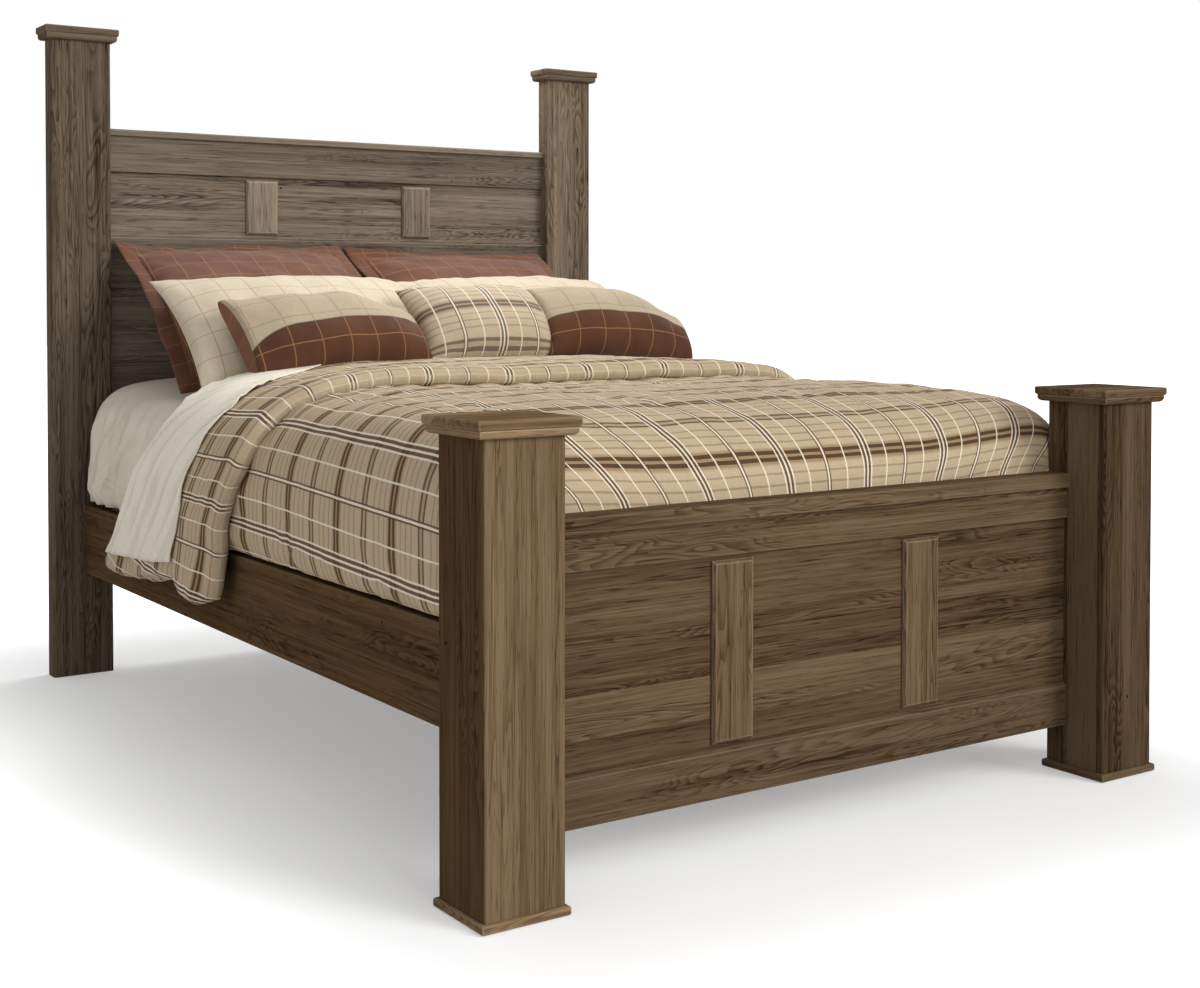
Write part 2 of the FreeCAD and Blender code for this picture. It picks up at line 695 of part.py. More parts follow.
# Side rails, ledgers, hook plates and the slotted plates that take the hooks
HALF_TURN = Rotation(Vector(0, 0, 1), 180)
hook_plates, slot_plates = [], []
for side, sign in SIDES.items():
    body, plank = board(f"side_rail_{side}_plank", "rail_thickness", "rail_length", "rail_height",
                        (f"{sign} * rail_x", "rail_y", "rail_bottom"))
    dress(body, "Fillet", plank, lambda edge: edge.Length > amount("rail_height") + NEAR, "rail_edge_radius")
    cutters = hook_holes[side]["foot"] + hook_holes[side]["head"] + ledger_holes[side]
    keep(f"side_rail_{side}", carved(f"side_rail_{side}", body, cutters))
    middle = (f"{sign} * (rail_inner - ledger_thickness / 2)", "rail_y")
    size = ("ledger_thickness", "rail_length - 2 * (hook_plate_length + ledger_end_gap)", "ledger_height")
    ledger = block(f"ledger_{side}_bar", middle, "ledger_bottom", size)
    cutters = ledger_holes[side] + [screw_holes[step, side] for step in SLAT_STEPS]
    keep(f"ledger_{side}", carved(f"ledger_{side}", ledger, cutters))
    for end, (face, inward) in RAIL_ENDS.items():
        tag = f"{end}_{side}"
        plate = doc.addObject("PartDesign::Body", "hook_blank_" + tag)
        profile = sketch_on(plate, "hook_profile_" + tag, "YZ_Plane")
        hook = []
        for half in (-1, 1):
            neck = f"hook_plate_height / 2 + {half} * hook_bolt_pitch / 2"
            low, high = f"{neck} - hook_neck / 2", f"{neck} + hook_neck / 2"
            tip = "hook_plate_length + hook_reach"
            root = f"{tip} - hook_lip_thickness"
            hook += [("hook_plate_length", low), (root, low), (root, f"{low} - hook_lip"),
                     (tip, f"{low} - hook_lip"), (tip, high), ("hook_plate_length", high)]
        outline(profile, [("0", "0"), ("hook_plate_length", "0")] + hook
                + [("hook_plate_length", "hook_plate_height"), ("0", "hook_plate_height")])
        pad(plate, profile, "hook_plate_thickness")
        flat = "rail_inner - hook_plate_thickness"
        starts = {(-1, -1): "-rail_inner", (1, -1): flat, (-1, 1): f"-({flat})", (1, 1): "rail_inner"}
        start = starts[sign, inward]
        if inward > 0:
            plate.Placement.Rotation = HALF_TURN
        low = "hook_plate_centre - hook_plate_height / 2"
        place(plate, (start, f"{face} + {inward} * hook_plate_length", low))
        hook_plates.append(carved("hook_plate_" + tag, plate, hook_holes[side][end]))
        middle = (f"{sign} * hook_x", f"{face} - {inward} * slot_plate_thickness / 2")
        strike = block("slot_blank_" + tag, middle, "hook_plate_centre - slot_plate_height / 2",
                       ("slot_plate_width", "slot_plate_thickness", "slot_plate_height"))
        slots = []
        for half in (-1, 1):
            low = f"hook_plate_centre + {half} * hook_bolt_pitch / 2 - hook_neck / 2"
            size = ("hook_plate_thickness + 2 * hook_clearance", "slot_plate_thickness + 2 * overrun",
                    "hook_neck + hook_drop")
            slots.append(block(f"slot_{tag}_{half + 1}", middle, low, size))
        slot_plates.append(carved("slot_plate_" + tag, strike, slots))
keep("hook_plates", group("hook_plates", hook_plates))
keep("slot_plates", group("slot_plates", slot_plates))

# Slats with a centre leg each, standing on a screw foot in a threaded insert
inserts = []
for step, count in SLAT_STEPS.items():
    y = f"rail_y + {count} * slat_pitch"
    plank = block(f"slat_{step}_plank", ("0", y), "ledger_top",
                  ("2 * (rail_inner - slat_end_gap)", "slat_width", "slat_thickness"))
    keep(f"slat_{step}", carved(f"slat_{step}", plank, [screw_holes[step, spot] for spot in SCREW_PLACES]))
    stick = block(f"centre_leg_{step}_stick", ("0", y), "leg_foot_gap",
                  ("leg_width", "leg_width", "ledger_top - leg_foot_gap"))
    foot = ("0", y, "leg_foot_gap")
    below = ("0", y, "leg_foot_gap - overrun")
    fit = "2 * running_clearance"
    seats = [rod(f"leg_bore_{step}", below, "z", "leg_bore", "leg_bore_depth + overrun"),
             rod(f"insert_seat_{step}", below, "z", f"insert_diameter + {fit}", "insert_length + overrun"),
             rod(f"flange_seat_{step}", below, "z", f"insert_flange + {fit}",
                 "insert_flange_thickness + overrun")]
    keep(f"centre_leg_{step}", carved(f"centre_leg_{step}", stick, seats + [screw_holes[step, "centre"]]))
    barrel = rod(f"insert_barrel_{step}", foot, "z", "insert_diameter", "insert_length")
    flange = rod(f"insert_flange_{step}", foot, "z", "insert_flange", "insert_flange_thickness")
    thread = rod(f"insert_bore_{step}", below, "z", f"leveller_stem + {fit}", "insert_length + 2 * overrun")
    inserts.append(carved(f"insert_{step}", joined(f"insert_blank_{step}", [barrel, flange]), [thread]))
    leveller = doc.addObject("PartDesign::Body", f"leveller_{step}")
    profile = sketch_on(leveller, f"leveller_profile_{step}", "XZ_Plane")
    outline(profile, [
        ("0", "0"),
        ("leveller_pad / 2 - leveller_pad_bevel", "0"),
        ("leveller_pad / 2", "leveller_pad_bevel"),
        ("leveller_pad / 2", "leveller_pad_height - leveller_pad_bevel"),
        ("leveller_pad / 2 - leveller_pad_bevel", "leveller_pad_height"),
        ("leveller_stem / 2", "leveller_pad_height"),
        ("leveller_stem / 2", "leveller_reach"),
        ("0", "leveller_reach"),
    ])
    turned = leveller.newObject("PartDesign::Revolution", f"leveller_turned_{step}")
    turned.Profile = profile
    turned.ReferenceAxis = (profile, ["V_Axis"])
    keep(f"leveller_{step}", place(leveller, ("0", y, "0")))
keep("leg_inserts", group("leg_inserts", inserts))

# Foundation: a low padded box on the slats, between the rails
spot = ("0", "(mattress_foot + mattress_head) / 2", "slat_top")
body, slab = board("foundation", "2 * foundation_half", "mattress_head - mattress_foot",
                   "mattress_bottom - slat_top", spot)
slab = dress(body, "Fillet", slab, upright, "mattress_end_radius")
dress(body, "Fillet", slab, lambda edge: not upright(edge), "foundation_radius")
keep("foundation", body)
doc.recompute()


# Bedding: every layer is a loft through like profiles, offset outwards from the mattress
QUARTER_TURN = math.radians(90)
END_SHARES = (0, 0.3, 0.6, 1)


def bed_profile(y, outward, low):
    """The outline across the bed at one place, larger than the mattress all round by an offset."""
    half = amount("mattress_width") / 2 + outward
    shoulder = amount("mattress_shoulder") + outward
    top, middle = amount("mattress_top") + outward, amount("shoulder_height")
    turn = QUARTER_TURN / 2
    right = [Vector(half, y, middle),
             Vector(half - shoulder + shoulder * math.cos(turn), y, middle + shoulder * math.sin(turn)),
             Vector(half - shoulder, y, top)]
    left = [Vector(-spot.x, y, spot.z) for spot in right]
    edges = [Part.Arc(*right).toShape(), Part.LineSegment(right[-1], left[-1]).toShape(),
             Part.Arc(*left[::-1]).toShape()]
    if low < middle - NEAR:
        tuck, rise = amount("mattress_tuck"), middle - low
        bend = (tuck ** 2 + rise ** 2) / (2 * tuck)
        lean = math.asin(rise / bend) / 2
        side = [Vector(half - tuck, y, low),
                Vector(half - bend + bend * math.cos(lean), y, middle - bend * math.sin(lean)), right[0]]
        other = [Vector(-spot.x, y, spot.z) for spot in side]
        edges = [Part.Arc(*side).toShape()] + edges + [Part.Arc(*other[::-1]).toShape()]
        right, left = side, other
    return Part.Wire(edges + [Part.LineSegment(left[0], right[0]).toShape()])


def rounded_end(end, outward):
    """Places and offsets that round one end of a layer over the mattress's end."""
    radius, growth = amount("mattress_end_radius"), amount("mattress_end_radius") + outward
    spots = []
    for share in END_SHARES:
        turn = QUARTER_TURN * share
        offset = outward - growth * (1 - math.sin(turn))
        if end == "foot":
            spots.append((amount("mattress_foot") + radius - growth * math.cos(turn), offset))
        else:
            spots.append((amount("mattress_head") - radius + growth * math.cos(turn), offset))
    return spots if end == "foot" else spots[::-1]


def layer(spots, low):
    return Part.makeLoft([bed_profile(y, outward, low) for y, outward in spots], True, True)


def soft(name, shape):
    item = doc.addObject("Part::Feature", name)
    item.Shape = shape
    return keep(name, item)


def whole_layer(outward):
    return layer(rounded_end("foot", outward) + rounded_end("head", outward), amount("mattress_bottom"))


soft("mattress", whole_layer(0))
soft("fitted_sheet", whole_layer(amount("fitted_outer")).cut(whole_layer(amount("fitted_inner"))))


# Pillows: lens-shaped sections from end to end, with edges drawn in between the corners
STATION_SHARES = (-0.5, -0.44, -0.3, 0, 0.3, 0.44, 0.5)
END_FULLNESS_SHARE = 0.04
FULLNESS_POWER = 2.5


def pillow(width, height, thickness):
    edge, pinch = amount("pillow_edge") / 2, amount("pillow_pinch_share")
    sections = []
    for share in STATION_SHARES:
        fullness = max(1 - abs(2 * share) ** FULLNESS_POWER, END_FULLNESS_SHARE)
        swell = edge + (thickness / 2 - edge) * fullness
        inset = height / 2 * pinch * (1 - (2 * share) ** 2)
        x, low, high = share * width, inset, height - inset
        front = [Vector(x, -edge, low), Vector(x, -swell, height / 2), Vector(x, -edge, high)]
        back = [Vector(x, edge, high), Vector(x, swell, height / 2), Vector(x, edge, low)]
        sections.append(Part.Wire([
            Part.Arc(*front).toShape(), Part.LineSegment(front[-1], back[0]).toShape(),
            Part.Arc(*back).toShape(), Part.LineSegment(back[-1], front[0]).toShape()]))
    return Part.makeLoft(sections, True, False)


def leaned(shape):
    turned = shape.copy()
    turned.rotate(Vector(0, 0, 0), Vector(1, 0, 0), -amount("pillow_lean"))
    return turned


def reach(shape):
    return shape.optimalBoundingBox(False, False)


def stacked(behind, thickness, behind_thickness, rise):
    """How far forward a pillow's foot lies when it leans on the one behind and stands higher by a rise."""
    lean = math.radians(amount("pillow_lean"))
    apart = (thickness + behind_thickness) / 2 + amount("pillow_clearance")
    return behind - (apart - rise * math.sin(lean)) / math.cos(lean)


sheet_top = amount("mattress_top") + amount("fitted_outer") + amount("soft_clearance")
cuff_top = amount("mattress_top") + amount("flat_outer") + amount("soft_clearance")

# Brown flanged shams stand on the fitted sheet and lean on the headboard, on its moulding where that is as low
flange, flange_thickness = amount("brown_flange"), amount("brown_flange_thickness")
brown_width, brown_height = amount("brown_width"), amount("brown_height")
filled = pillow(brown_width - 2 * flange, brown_height - 2 * flange, amount("brown_thickness"))
filled.translate(Vector(0, 0, flange))
corner = Vector(-brown_width / 2, -flange_thickness / 2, 0)
brown = leaned(filled.fuse(Part.makeBox(brown_width, flange_thickness, brown_height, corner)))
brown_z = sheet_top - reach(brown).ZMin
meets_moulding = brown_z + reach(brown).ZMax > amount("head_rail_top")
leans_on = amount("head_board_y") - (amount("head_moulding_projection") if meets_moulding else 0)
brown_y = leans_on - amount("soft_clearance") - reach(brown).YMax

# Cream shams stand in front of them
cream = leaned(pillow(amount("cream_width"), amount("cream_height"), amount("cream_thickness")))
cream_z = sheet_top - reach(cream).ZMin
cream_y = stacked(brown_y, amount("cream_thickness"), amount("brown_thickness"), cream_z - brown_z)
for side, sign in SIDES.items():
    item = soft(f"brown_sham_{side}", brown)
    item.Placement.Base = Vector(sign * amount("brown_centre"), brown_y, brown_z)
    item = soft(f"cream_sham_{side}", cream)
    item.Placement.Base = Vector(sign * amount("cream_centre") + amount("cream_offset"), cream_y, cream_z)

# The plaid pillow and the oblong accents stand on the turned-back sheet
plaid = leaned(pillow(amount("plaid_width"), amount("plaid_height"), amount("plaid_thickness")))
plaid_z = cuff_top - reach(plaid).ZMin
plaid_y = stacked(cream_y, amount("plaid_thickness"), amount("cream_thickness"), plaid_z - cream_z)
soft("plaid_pillow", plaid).Placement.Base = Vector(amount("plaid_offset"), plaid_y, plaid_z)
accent = leaned(pillow(amount("accent_width"), amount("accent_height"), amount("accent_thickness")))
accent_z = cuff_top - reach(accent).ZMin
accent_y = stacked(cream_y, amount("accent_thickness"), amount("cream_thickness"), accent_z - cream_z)
beside = (amount("plaid_width") + amount("accent_width")) / 2
left_x = amount("plaid_offset") - beside - amount("pillow_clearance")
right_x = amount("plaid_offset") + beside - amount("accent_overlap")
soft("accent_pillow_left", accent).Placement.Base = Vector(left_x, accent_y, accent_z)
near_y = accent_y - amount("accent_forward")
soft("accent_pillow_right", accent).Placement.Base = Vector(right_x, near_y, accent_z)


# Hanging cloth: a drop whose outer face swells in folds towards its hem
def drop(sign, top, hem, folds):
    """Each end of the drop gives its height, inner and outer faces, two sides and how far its folds rise."""
    wires = []
    count = round(folds)
    for height, inner, outer, foot, head, rise in (top, hem):
        width = (head - foot) / count
        corners = [Vector(sign * outer, head - width * step, height) for step in range(count + 1)]
        back = [Vector(sign * inner, foot, height), Vector(sign * inner, head, height)]
        edges = [Part.LineSegment(*back).toShape(), Part.LineSegment(back[1], corners[0]).toShape()]
        for first, last in zip(corners, corners[1:]):
            crest = Vector(sign * (outer + rise), (first.y + last.y) / 2, height)
            edges.append(Part.Arc(first, crest, last).toShape())
        edges.append(Part.LineSegment(corners[-1], back[0]).toShape())
        wires.append(Part.Wire(edges))
    return Part.makeLoft(wires, True, True)


# Comforter: over the mattress and its foot, turned back below the pillows, its turned corners hanging outside
half_bed = amount("mattress_width") / 2
hem = amount("rail_top") + amount("soft_clearance")
shoulder_height = amount("shoulder_height")
fold_y = cream_y + reach(cream).YMin - amount("cuff_pillow_gap")
edge_y, sheet_y = fold_y - amount("cuff_width"), fold_y - amount("flat_sheet_width")
body_outer, body_inner = amount("comforter_outer"), amount("comforter_inner")
cuff_outer, nose = amount("cuff_outer"), amount("cuff_nose")
comforter = layer(rounded_end("foot", body_outer) + [(fold_y, body_outer)], hem)
cuff = layer([(edge_y, cuff_outer - nose), (edge_y + nose, cuff_outer), (fold_y - nose, cuff_outer),
                   (fold_y, cuff_outer - nose)], shoulder_height)
comforter = comforter.fuse(cuff)
comforter = comforter.cut(layer(rounded_end("foot", body_inner) + [(fold_y + nose, body_inner)], hem))
flap_inner = amount("rail_span") / 2 + amount("flap_stand_off")
flap_outer = flap_inner + amount("flap_thickness")
flap_rise = amount("flap_fold_rise")
flap_sides = (fold_y - amount("flap_foot_reach"), fold_y + amount("flap_head_reach"))
slight = amount("soft_clearance")
for sign in SIDES.values():
    top = (shoulder_height, half_bed + (body_inner + body_outer) / 2, half_bed + cuff_outer - 2 * slight,
           edge_y + nose, fold_y - nose, slight)
    bottom = (amount("flap_hem"), flap_inner, flap_outer, *flap_sides, flap_rise)
    comforter = comforter.fuse(drop(sign, top, bottom, amount("flap_folds")))
soft("comforter", comforter.removeSplitter())

# Flat sheet: lies on the turned-back comforter and hangs over its corners
flat_inner, flat_outer = amount("flat_inner"), amount("flat_outer")
flat_sheet = layer([(sheet_y, flat_outer), (fold_y, flat_outer)], shoulder_height)
sheet_room = [(sheet_y - nose, flat_inner), (fold_y + nose, flat_inner)]
flat_sheet = flat_sheet.cut(layer(sheet_room, shoulder_height))
sheet_inner = flap_outer + flap_rise + slight
sheet_sides = (fold_y - amount("sheet_flap_foot_reach"), fold_y + amount("sheet_flap_head_reach"))
for sign in SIDES.values():
    top = (shoulder_height, half_bed + flat_inner, half_bed + flat_outer, sheet_y, fold_y, slight)
    bottom = (amount("sheet_flap_hem"), sheet_inner, sheet_inner + amount("sheet_thickness"), *sheet_sides,
              amount("sheet_flap_rise"))
    flat_sheet = flat_sheet.fuse(drop(sign, top, bottom, amount("sheet_flap_folds")))
soft("flat_sheet", flat_sheet.removeSplitter())
doc.recompute()

# Every object is sound before anything is written
faults = [item.Label for item in doc.Objects if {"Invalid", "Error"} & set(item.State)]
faults += [name for name, item in NODES.items() if item.Shape.isNull() or not item.Shape.isValid()]
if faults:
    raise RuntimeError("unsound: " + ", ".join(faults))
os.makedirs("parts", exist_ok=True)
for name, item in NODES.items():
    item.Shape.exportStep(f"parts/{name}.step")
print(len(NODES), "sub-parts written")
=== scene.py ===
import math

import bpy
import numpy as np
from mathutils import Matrix, Vector


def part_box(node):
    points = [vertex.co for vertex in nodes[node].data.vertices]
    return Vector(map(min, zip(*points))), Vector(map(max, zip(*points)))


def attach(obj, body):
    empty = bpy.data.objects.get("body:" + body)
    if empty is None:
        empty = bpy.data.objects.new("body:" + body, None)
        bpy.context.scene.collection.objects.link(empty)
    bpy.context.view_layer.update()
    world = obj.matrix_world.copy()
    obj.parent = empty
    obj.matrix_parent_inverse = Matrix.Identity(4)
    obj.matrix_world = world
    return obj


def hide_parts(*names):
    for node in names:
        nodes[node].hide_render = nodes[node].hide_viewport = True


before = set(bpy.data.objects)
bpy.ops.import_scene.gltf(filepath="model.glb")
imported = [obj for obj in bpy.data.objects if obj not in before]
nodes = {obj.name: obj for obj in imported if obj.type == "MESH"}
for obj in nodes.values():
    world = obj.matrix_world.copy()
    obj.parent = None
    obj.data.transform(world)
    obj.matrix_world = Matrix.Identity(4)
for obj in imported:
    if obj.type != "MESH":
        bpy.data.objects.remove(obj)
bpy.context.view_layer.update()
bpy.ops.object.select_all(action="DESELECT")


# ---- posts and caps
# Four hollow posts of mitred boards under a foil of weathered oak. The grain runs up the posts;
# the cap boards and the mouldings under and round them are mitred strips, glued and pinned on.
def tone(red, green, blue):
    """A colour as seen on a screen, in the linear numbers that shaders use."""
    parts = [part / 255 for part in (red, green, blue)]
    return tuple(p / 12.92 if p < 0.04 else ((p + 0.055) / 1.055) ** 2.4 for p in parts) + (1.0,)


def put(node, sockets):
    """Gives each of these sockets a number, a colour or another node's output."""
    for key, value in sockets.items():
        if isinstance(value, bpy.types.NodeSocket):
            node.id_data.links.new(value, node.inputs[key])
        else:
            node.inputs[key].default_value = value


def add(tree, kind, sockets=None, **settings):
    """A new shader node with its settings and sockets."""
    node = tree.nodes.new("ShaderNode" + kind)
    for word, value in settings.items():
        setattr(node, word, value)
    put(node, sockets or {})
    return node


def sums(tree, operation, first, second=0.0, third=0.0):
    return add(tree, "Math", {0: first, 1: second, 2: third}, operation=operation).outputs[0]


def remap(tree, value, low, high, to_low=0.0, to_high=1.0):
    sockets = {0: value, 1: low, 2: high, 3: to_low, 4: to_high}
    return add(tree, "MapRange", sockets, interpolation_type="SMOOTHSTEP").outputs[0]


def blend(tree, share, first, second, how="MIX"):
    node = add(tree, "Mix", {0: share, 6: first, 7: second}, data_type="RGBA", blend_type=how)
    return node.outputs[2]


def ramp(tree, value, stops, interpolation="LINEAR"):
    node = add(tree, "ValToRGB", {0: value})
    node.color_ramp.interpolation = interpolation
    elements = node.color_ramp.elements
    while len(elements) < len(stops):
        elements.new(0.5)
    for element, (place, colour) in zip(elements, stops):
        element.position, element.color = place, colour
    return node.outputs[0]


def group(name, inputs, outputs):
    """An empty node group with named sockets, and its two end nodes."""
    tree = bpy.data.node_groups.new(name, "ShaderNodeTree")
    kinds = {"v": "NodeSocketVector", "f": "NodeSocketFloat", "c": "NodeSocketColor"}
    for in_out, names in (("INPUT", inputs), ("OUTPUT", outputs)):
        for word, kind in names.items():
            tree.interface.new_socket(name=word, in_out=in_out, socket_type=kinds[kind])
    return tree, tree.nodes.new("NodeGroupInput"), tree.nodes.new("NodeGroupOutput")


oak, oak_in, oak_out = group("oak grain", {"Grain": "v"}, {"Figure": "f", "Pits": "f", "Relief": "f"})


def parts(tree, vector):
    """The outputs along X, Y and Z of a vector."""
    return add(tree, "SeparateXYZ", {0: vector}).outputs


def stretched(tree, vector, along, scale, detail, roughness, distortion=0.0):
    """Noise drawn out along the grain, which runs along the first axis."""
    narrow = add(tree, "VectorMath", {0: vector, 1: (along, 1, 1)}, operation="MULTIPLY").outputs[0]
    sockets = {"Vector": narrow, "Scale": scale, "Detail": detail, "Roughness": roughness}
    return add(tree, "TexNoise", sockets | {"Distortion": distortion}).outputs[0]


STRIPS, RINGS = 12.5, 46.0  # glued strips in a metre of board; growth rings over the whole of the noise
STRIP_JUMP = (3, 0.4, 0.4)  # how far the grain of one strip may lie from that of the next
grain = oak_in.outputs[0]
across = sums(oak, "ADD", *parts(oak, grain)[1:])
strip = sums(oak, "FLOOR", sums(oak, "MULTIPLY", across, STRIPS))
chance = add(oak, "TexWhiteNoise", {"W": strip}, noise_dimensions="1D")
jump = add(oak, "VectorMath", {0: chance.outputs["Color"], 1: STRIP_JUMP}, operation="MULTIPLY")
own = add(oak, "VectorMath", {0: grain, 1: jump.outputs[0]}).outputs[0]
field = stretched(oak, own, 0.10, 9.0, 3.0, 0.55, 0.5)
turns = sums(oak, "FRACT", sums(oak, "MULTIPLY", field, RINGS))
ring = sums(oak, "MULTIPLY", remap(oak, turns, 0.25, 1.0), remap(oak, field, 0.46, 0.58))
fibre = stretched(oak, grain, 0.014, 380.0, 3.0, 0.75)
combed = stretched(oak, own, 0.013, 120.0, 5.0, 0.7)
streak = remap(oak, stretched(oak, own, 0.06, 13.0, 5.0, 0.65), 0.5, 0.72)
pale = remap(oak, stretched(oak, own, 0.05, 9.0, 4.0, 0.6), 0.5, 0.7)
pores = remap(oak, stretched(oak, grain, 0.05, 300.0, 1.0, 0.5), 0.6, 0.72)
spots = add(oak, "TexVoronoi", {"Vector": grain, "Scale": 8.5}).outputs["Distance"]
pits = remap(oak, spots, 0.018, 0.04, 1.0, 0.0)
figure, relief = -0.40, 0.0
for share, weight in ((fibre, 0.9), (combed, 1.1), (chance.outputs["Value"], 0.32), (pale, 0.22),
                      (ring, -0.32), (streak, -0.32), (pores, -0.26)):
    figure = sums(oak, "MULTIPLY_ADD", share, weight, figure)
for share, weight in ((fibre, 0.5), (ring, -0.5), (pores, -0.6)):
    relief = sums(oak, "MULTIPLY_ADD", share, weight, relief)
put(oak_out, {"Figure": figure, "Pits": pits, "Relief": relief})

GRAIN_TURNS = {"X": (0, 0, 0), "Y": (0, 0, -math.pi / 2), "Z": (0, math.pi / 2, 0)}
OAK_STOPS = [(0.0, tone(38, 27, 18)), (0.3, tone(70, 53, 37)), (0.52, tone(98, 78, 56)),
             (0.75, tone(119, 97, 72)), (1.0, tone(138, 116, 90))]
GREYED = (1.32, 1.12, 0.92, 1.0)
PIT_TONE, WORN_AND_HIGHLIGHT_TONE = tone(24, 17, 12), tone(190, 168, 138)
EASED_EDGE = 0.005
UNTINTED = (1, 1, 1)


def grain_vector(tree, axis, shift):
    place = add(tree, "TexCoord").outputs["Object"]
    turned = [add(tree, "Mapping", {0: place, 1: shift, 2: GRAIN_TURNS[word]}).outputs[0] for word in axis]
    if len(turned) == 1:
        return turned[0]
    facing = parts(tree, add(tree, "TexCoord").outputs["Normal"])[0]
    side = remap(tree, sums(tree, "ABSOLUTE", facing), 0.55, 0.6)
    return add(tree, "Mix", {0: side, 4: turned[0], 5: turned[1]}, data_type="VECTOR").outputs[1]


def started(name):
    """A new material, with its node tree and its shader."""
    material = bpy.data.materials.new(name)
    material.use_nodes = True
    return material, material.node_tree, material.node_tree.nodes["Principled BSDF"]


def timber(name, axis, number, stops=OAK_STOPS, greyed=0.0, shade=1.0, rough=0.5, tint=UNTINTED,
           sides=UNTINTED):
    """One board's own material: the grain group turned along the board, at a place of its own in the log.
    sides darkens the boards that face across the bed, a painted shade; shade and tint set the board's tone,
    partly its own and partly painted light and shade."""
    material, tree, shader = started(name)
    shift = (0.731 * number % 5, 0.377 * number % 3, 0.519 * number % 4)
    cut = add(tree, "Group", {0: grain_vector(tree, axis, shift)}, node_tree=oak)
    colour = ramp(tree, cut.outputs["Figure"], stops)
    if greyed:
        ashen = add(tree, "RGBToBW", {0: colour}).outputs[0]
        ashen = blend(tree, 1.0, ashen, GREYED, "MULTIPLY")
        colour = blend(tree, greyed, colour, ashen)
    colour = blend(tree, sums(tree, "MULTIPLY", cut.outputs["Pits"], 0.85), colour, PIT_TONE)
    # Eased edges are lightened: partly wear, partly a painted highlight.
    eased = add(tree, "Bevel", {0: EASED_EDGE}, samples=4).outputs[0]
    flat_way = add(tree, "NewGeometry").outputs["True Normal"]
    at_edge = add(tree, "VectorMath", {0: eased, 1: flat_way}, operation="DOT_PRODUCT").outputs["Value"]
    worn_and_highlit = blend(tree, 0.6, colour, WORN_AND_HIGHLIGHT_TONE)
    colour = blend(tree, remap(tree, at_edge, 0.995, 0.92), colour, worn_and_highlit)
    # The piece's tone, partly its own and partly painted light and shade.
    colour = blend(tree, 1.0, colour, tuple(shade * part for part in tint) + (1.0,), "MULTIPLY")
    # A painted shade: the boards that face across the bed are darkened.
    if sides != UNTINTED:
        across = remap(tree, sums(tree, "ABSOLUTE", parts(tree, flat_way)[0]), 0.6, 0.75)
        colour = blend(tree, across, colour, blend(tree, 1.0, colour, sides + (1.0,), "MULTIPLY"))
    relief = {"Strength": 0.22, "Distance": 0.0006, "Height": cut.outputs["Relief"], "Normal": eased}
    polish = remap(tree, cut.outputs["Figure"], 0.0, 1.0, rough + 0.1, rough - 0.06)
    put(shader, {"Base Color": colour, "Normal": add(tree, "Bump", relief).outputs[0], "Roughness": polish,
                 "Specular IOR Level": 0.0})
    return material


def dressed(piece, material):
    piece.data.materials.clear()
    piece.data.materials.append(material)


def clad(node, material):
    dressed(nodes[node], material)


# Each post's tone is partly the oak's own and partly painted light and shade, so the twin posts differ; the
# foot posts' caps and mouldings are lighter, partly their own tone and partly painted light.
POST_TONE_AND_PAINTED_LIGHT = {"foot_left": 0.73, "foot_right": 0.48, "head_left": 0.74, "head_right": 0.74}
FOOT_TRIM_TONE_AND_PAINTED_LIGHT = {"post": 1.0, "cap": 1.55, "cap_moulding": 1.6, "base_moulding": 1.6}
# The right head post is painted lighter than its twin: a painted highlight.
HEAD_RIGHT_PAINTED_LIGHT = 0.95
# The left foot post's side boards are painted darker: a painted shade.
FOOT_LEFT_PAINTED_SIDE_SHADE = (0.56, 0.48, 0.40)
boards = 0
# The head posts' greying is partly a weathered grey and partly a painted reflection.
for end, greyed in (("head", 0.5), ("foot", 0.0)):
    for side in ("left", "right"):
        for part, axis in (("post", "Z"), ("cap", "X"), ("cap_moulding", "XY"), ("base_moulding", "XY")):
            name = f"{end}_{part}_{side}"
            if name in nodes:
                boards += 1
                shade = POST_TONE_AND_PAINTED_LIGHT[f"{end}_{side}"] * (FOOT_TRIM_TONE_AND_PAINTED_LIGHT[part] if end == "foot" else 1.0)
                shade = HEAD_RIGHT_PAINTED_LIGHT if name == "head_post_right" else shade
                sides = FOOT_LEFT_PAINTED_SIDE_SHADE if name == "foot_post_left" else UNTINTED
                board = timber(name + " oak", axis, boards, greyed=greyed, shade=shade, sides=sides)
                clad(name, board)

# ---- headboard and footboard
# Rails, thin panels and planted pilasters between the posts, all in the same oak-grain foil.
# The panels' grain runs across the bed, the pilasters' runs up; the headboard is the greyer of the two,
# partly weathered grey and partly a painted reflection. Each piece's tone is partly its own, partly painted
# light and shade.
BOARD_PARTS = ("top_moulding", "top_rail", "middle_rail", "bottom_rail", "upper_panel", "lower_panel",
               "panel")
BOARD_TONE_AND_PAINTED_LIGHT = {"foot": 0.63, "foot_bottom_rail": 0.52, "head": 0.82, "head_upper_panel": 1.14,
                "head_lower_panel": 1.14}
PILASTER_TONE_AND_PAINTED_LIGHT = {"foot": 0.73, "head": 1.08}
for end, greyed in (("head", 0.75), ("foot", 0.0)):
    for part in BOARD_PARTS:
        name = f"{end}_{part}"
        if name in nodes:
            boards += 1
            shade = BOARD_TONE_AND_PAINTED_LIGHT.get(name, BOARD_TONE_AND_PAINTED_LIGHT[end])
            clad(name, timber(name + " oak", "X", boards, greyed=greyed, shade=shade))
    for side in ("left", "right"):
        boards += 1
        name = f"{end}_pilaster_{side}"
        board = timber(name + " oak", "Z", boards, greyed=greyed, shade=PILASTER_TONE_AND_PAINTED_LIGHT[end])
        clad(name, board)

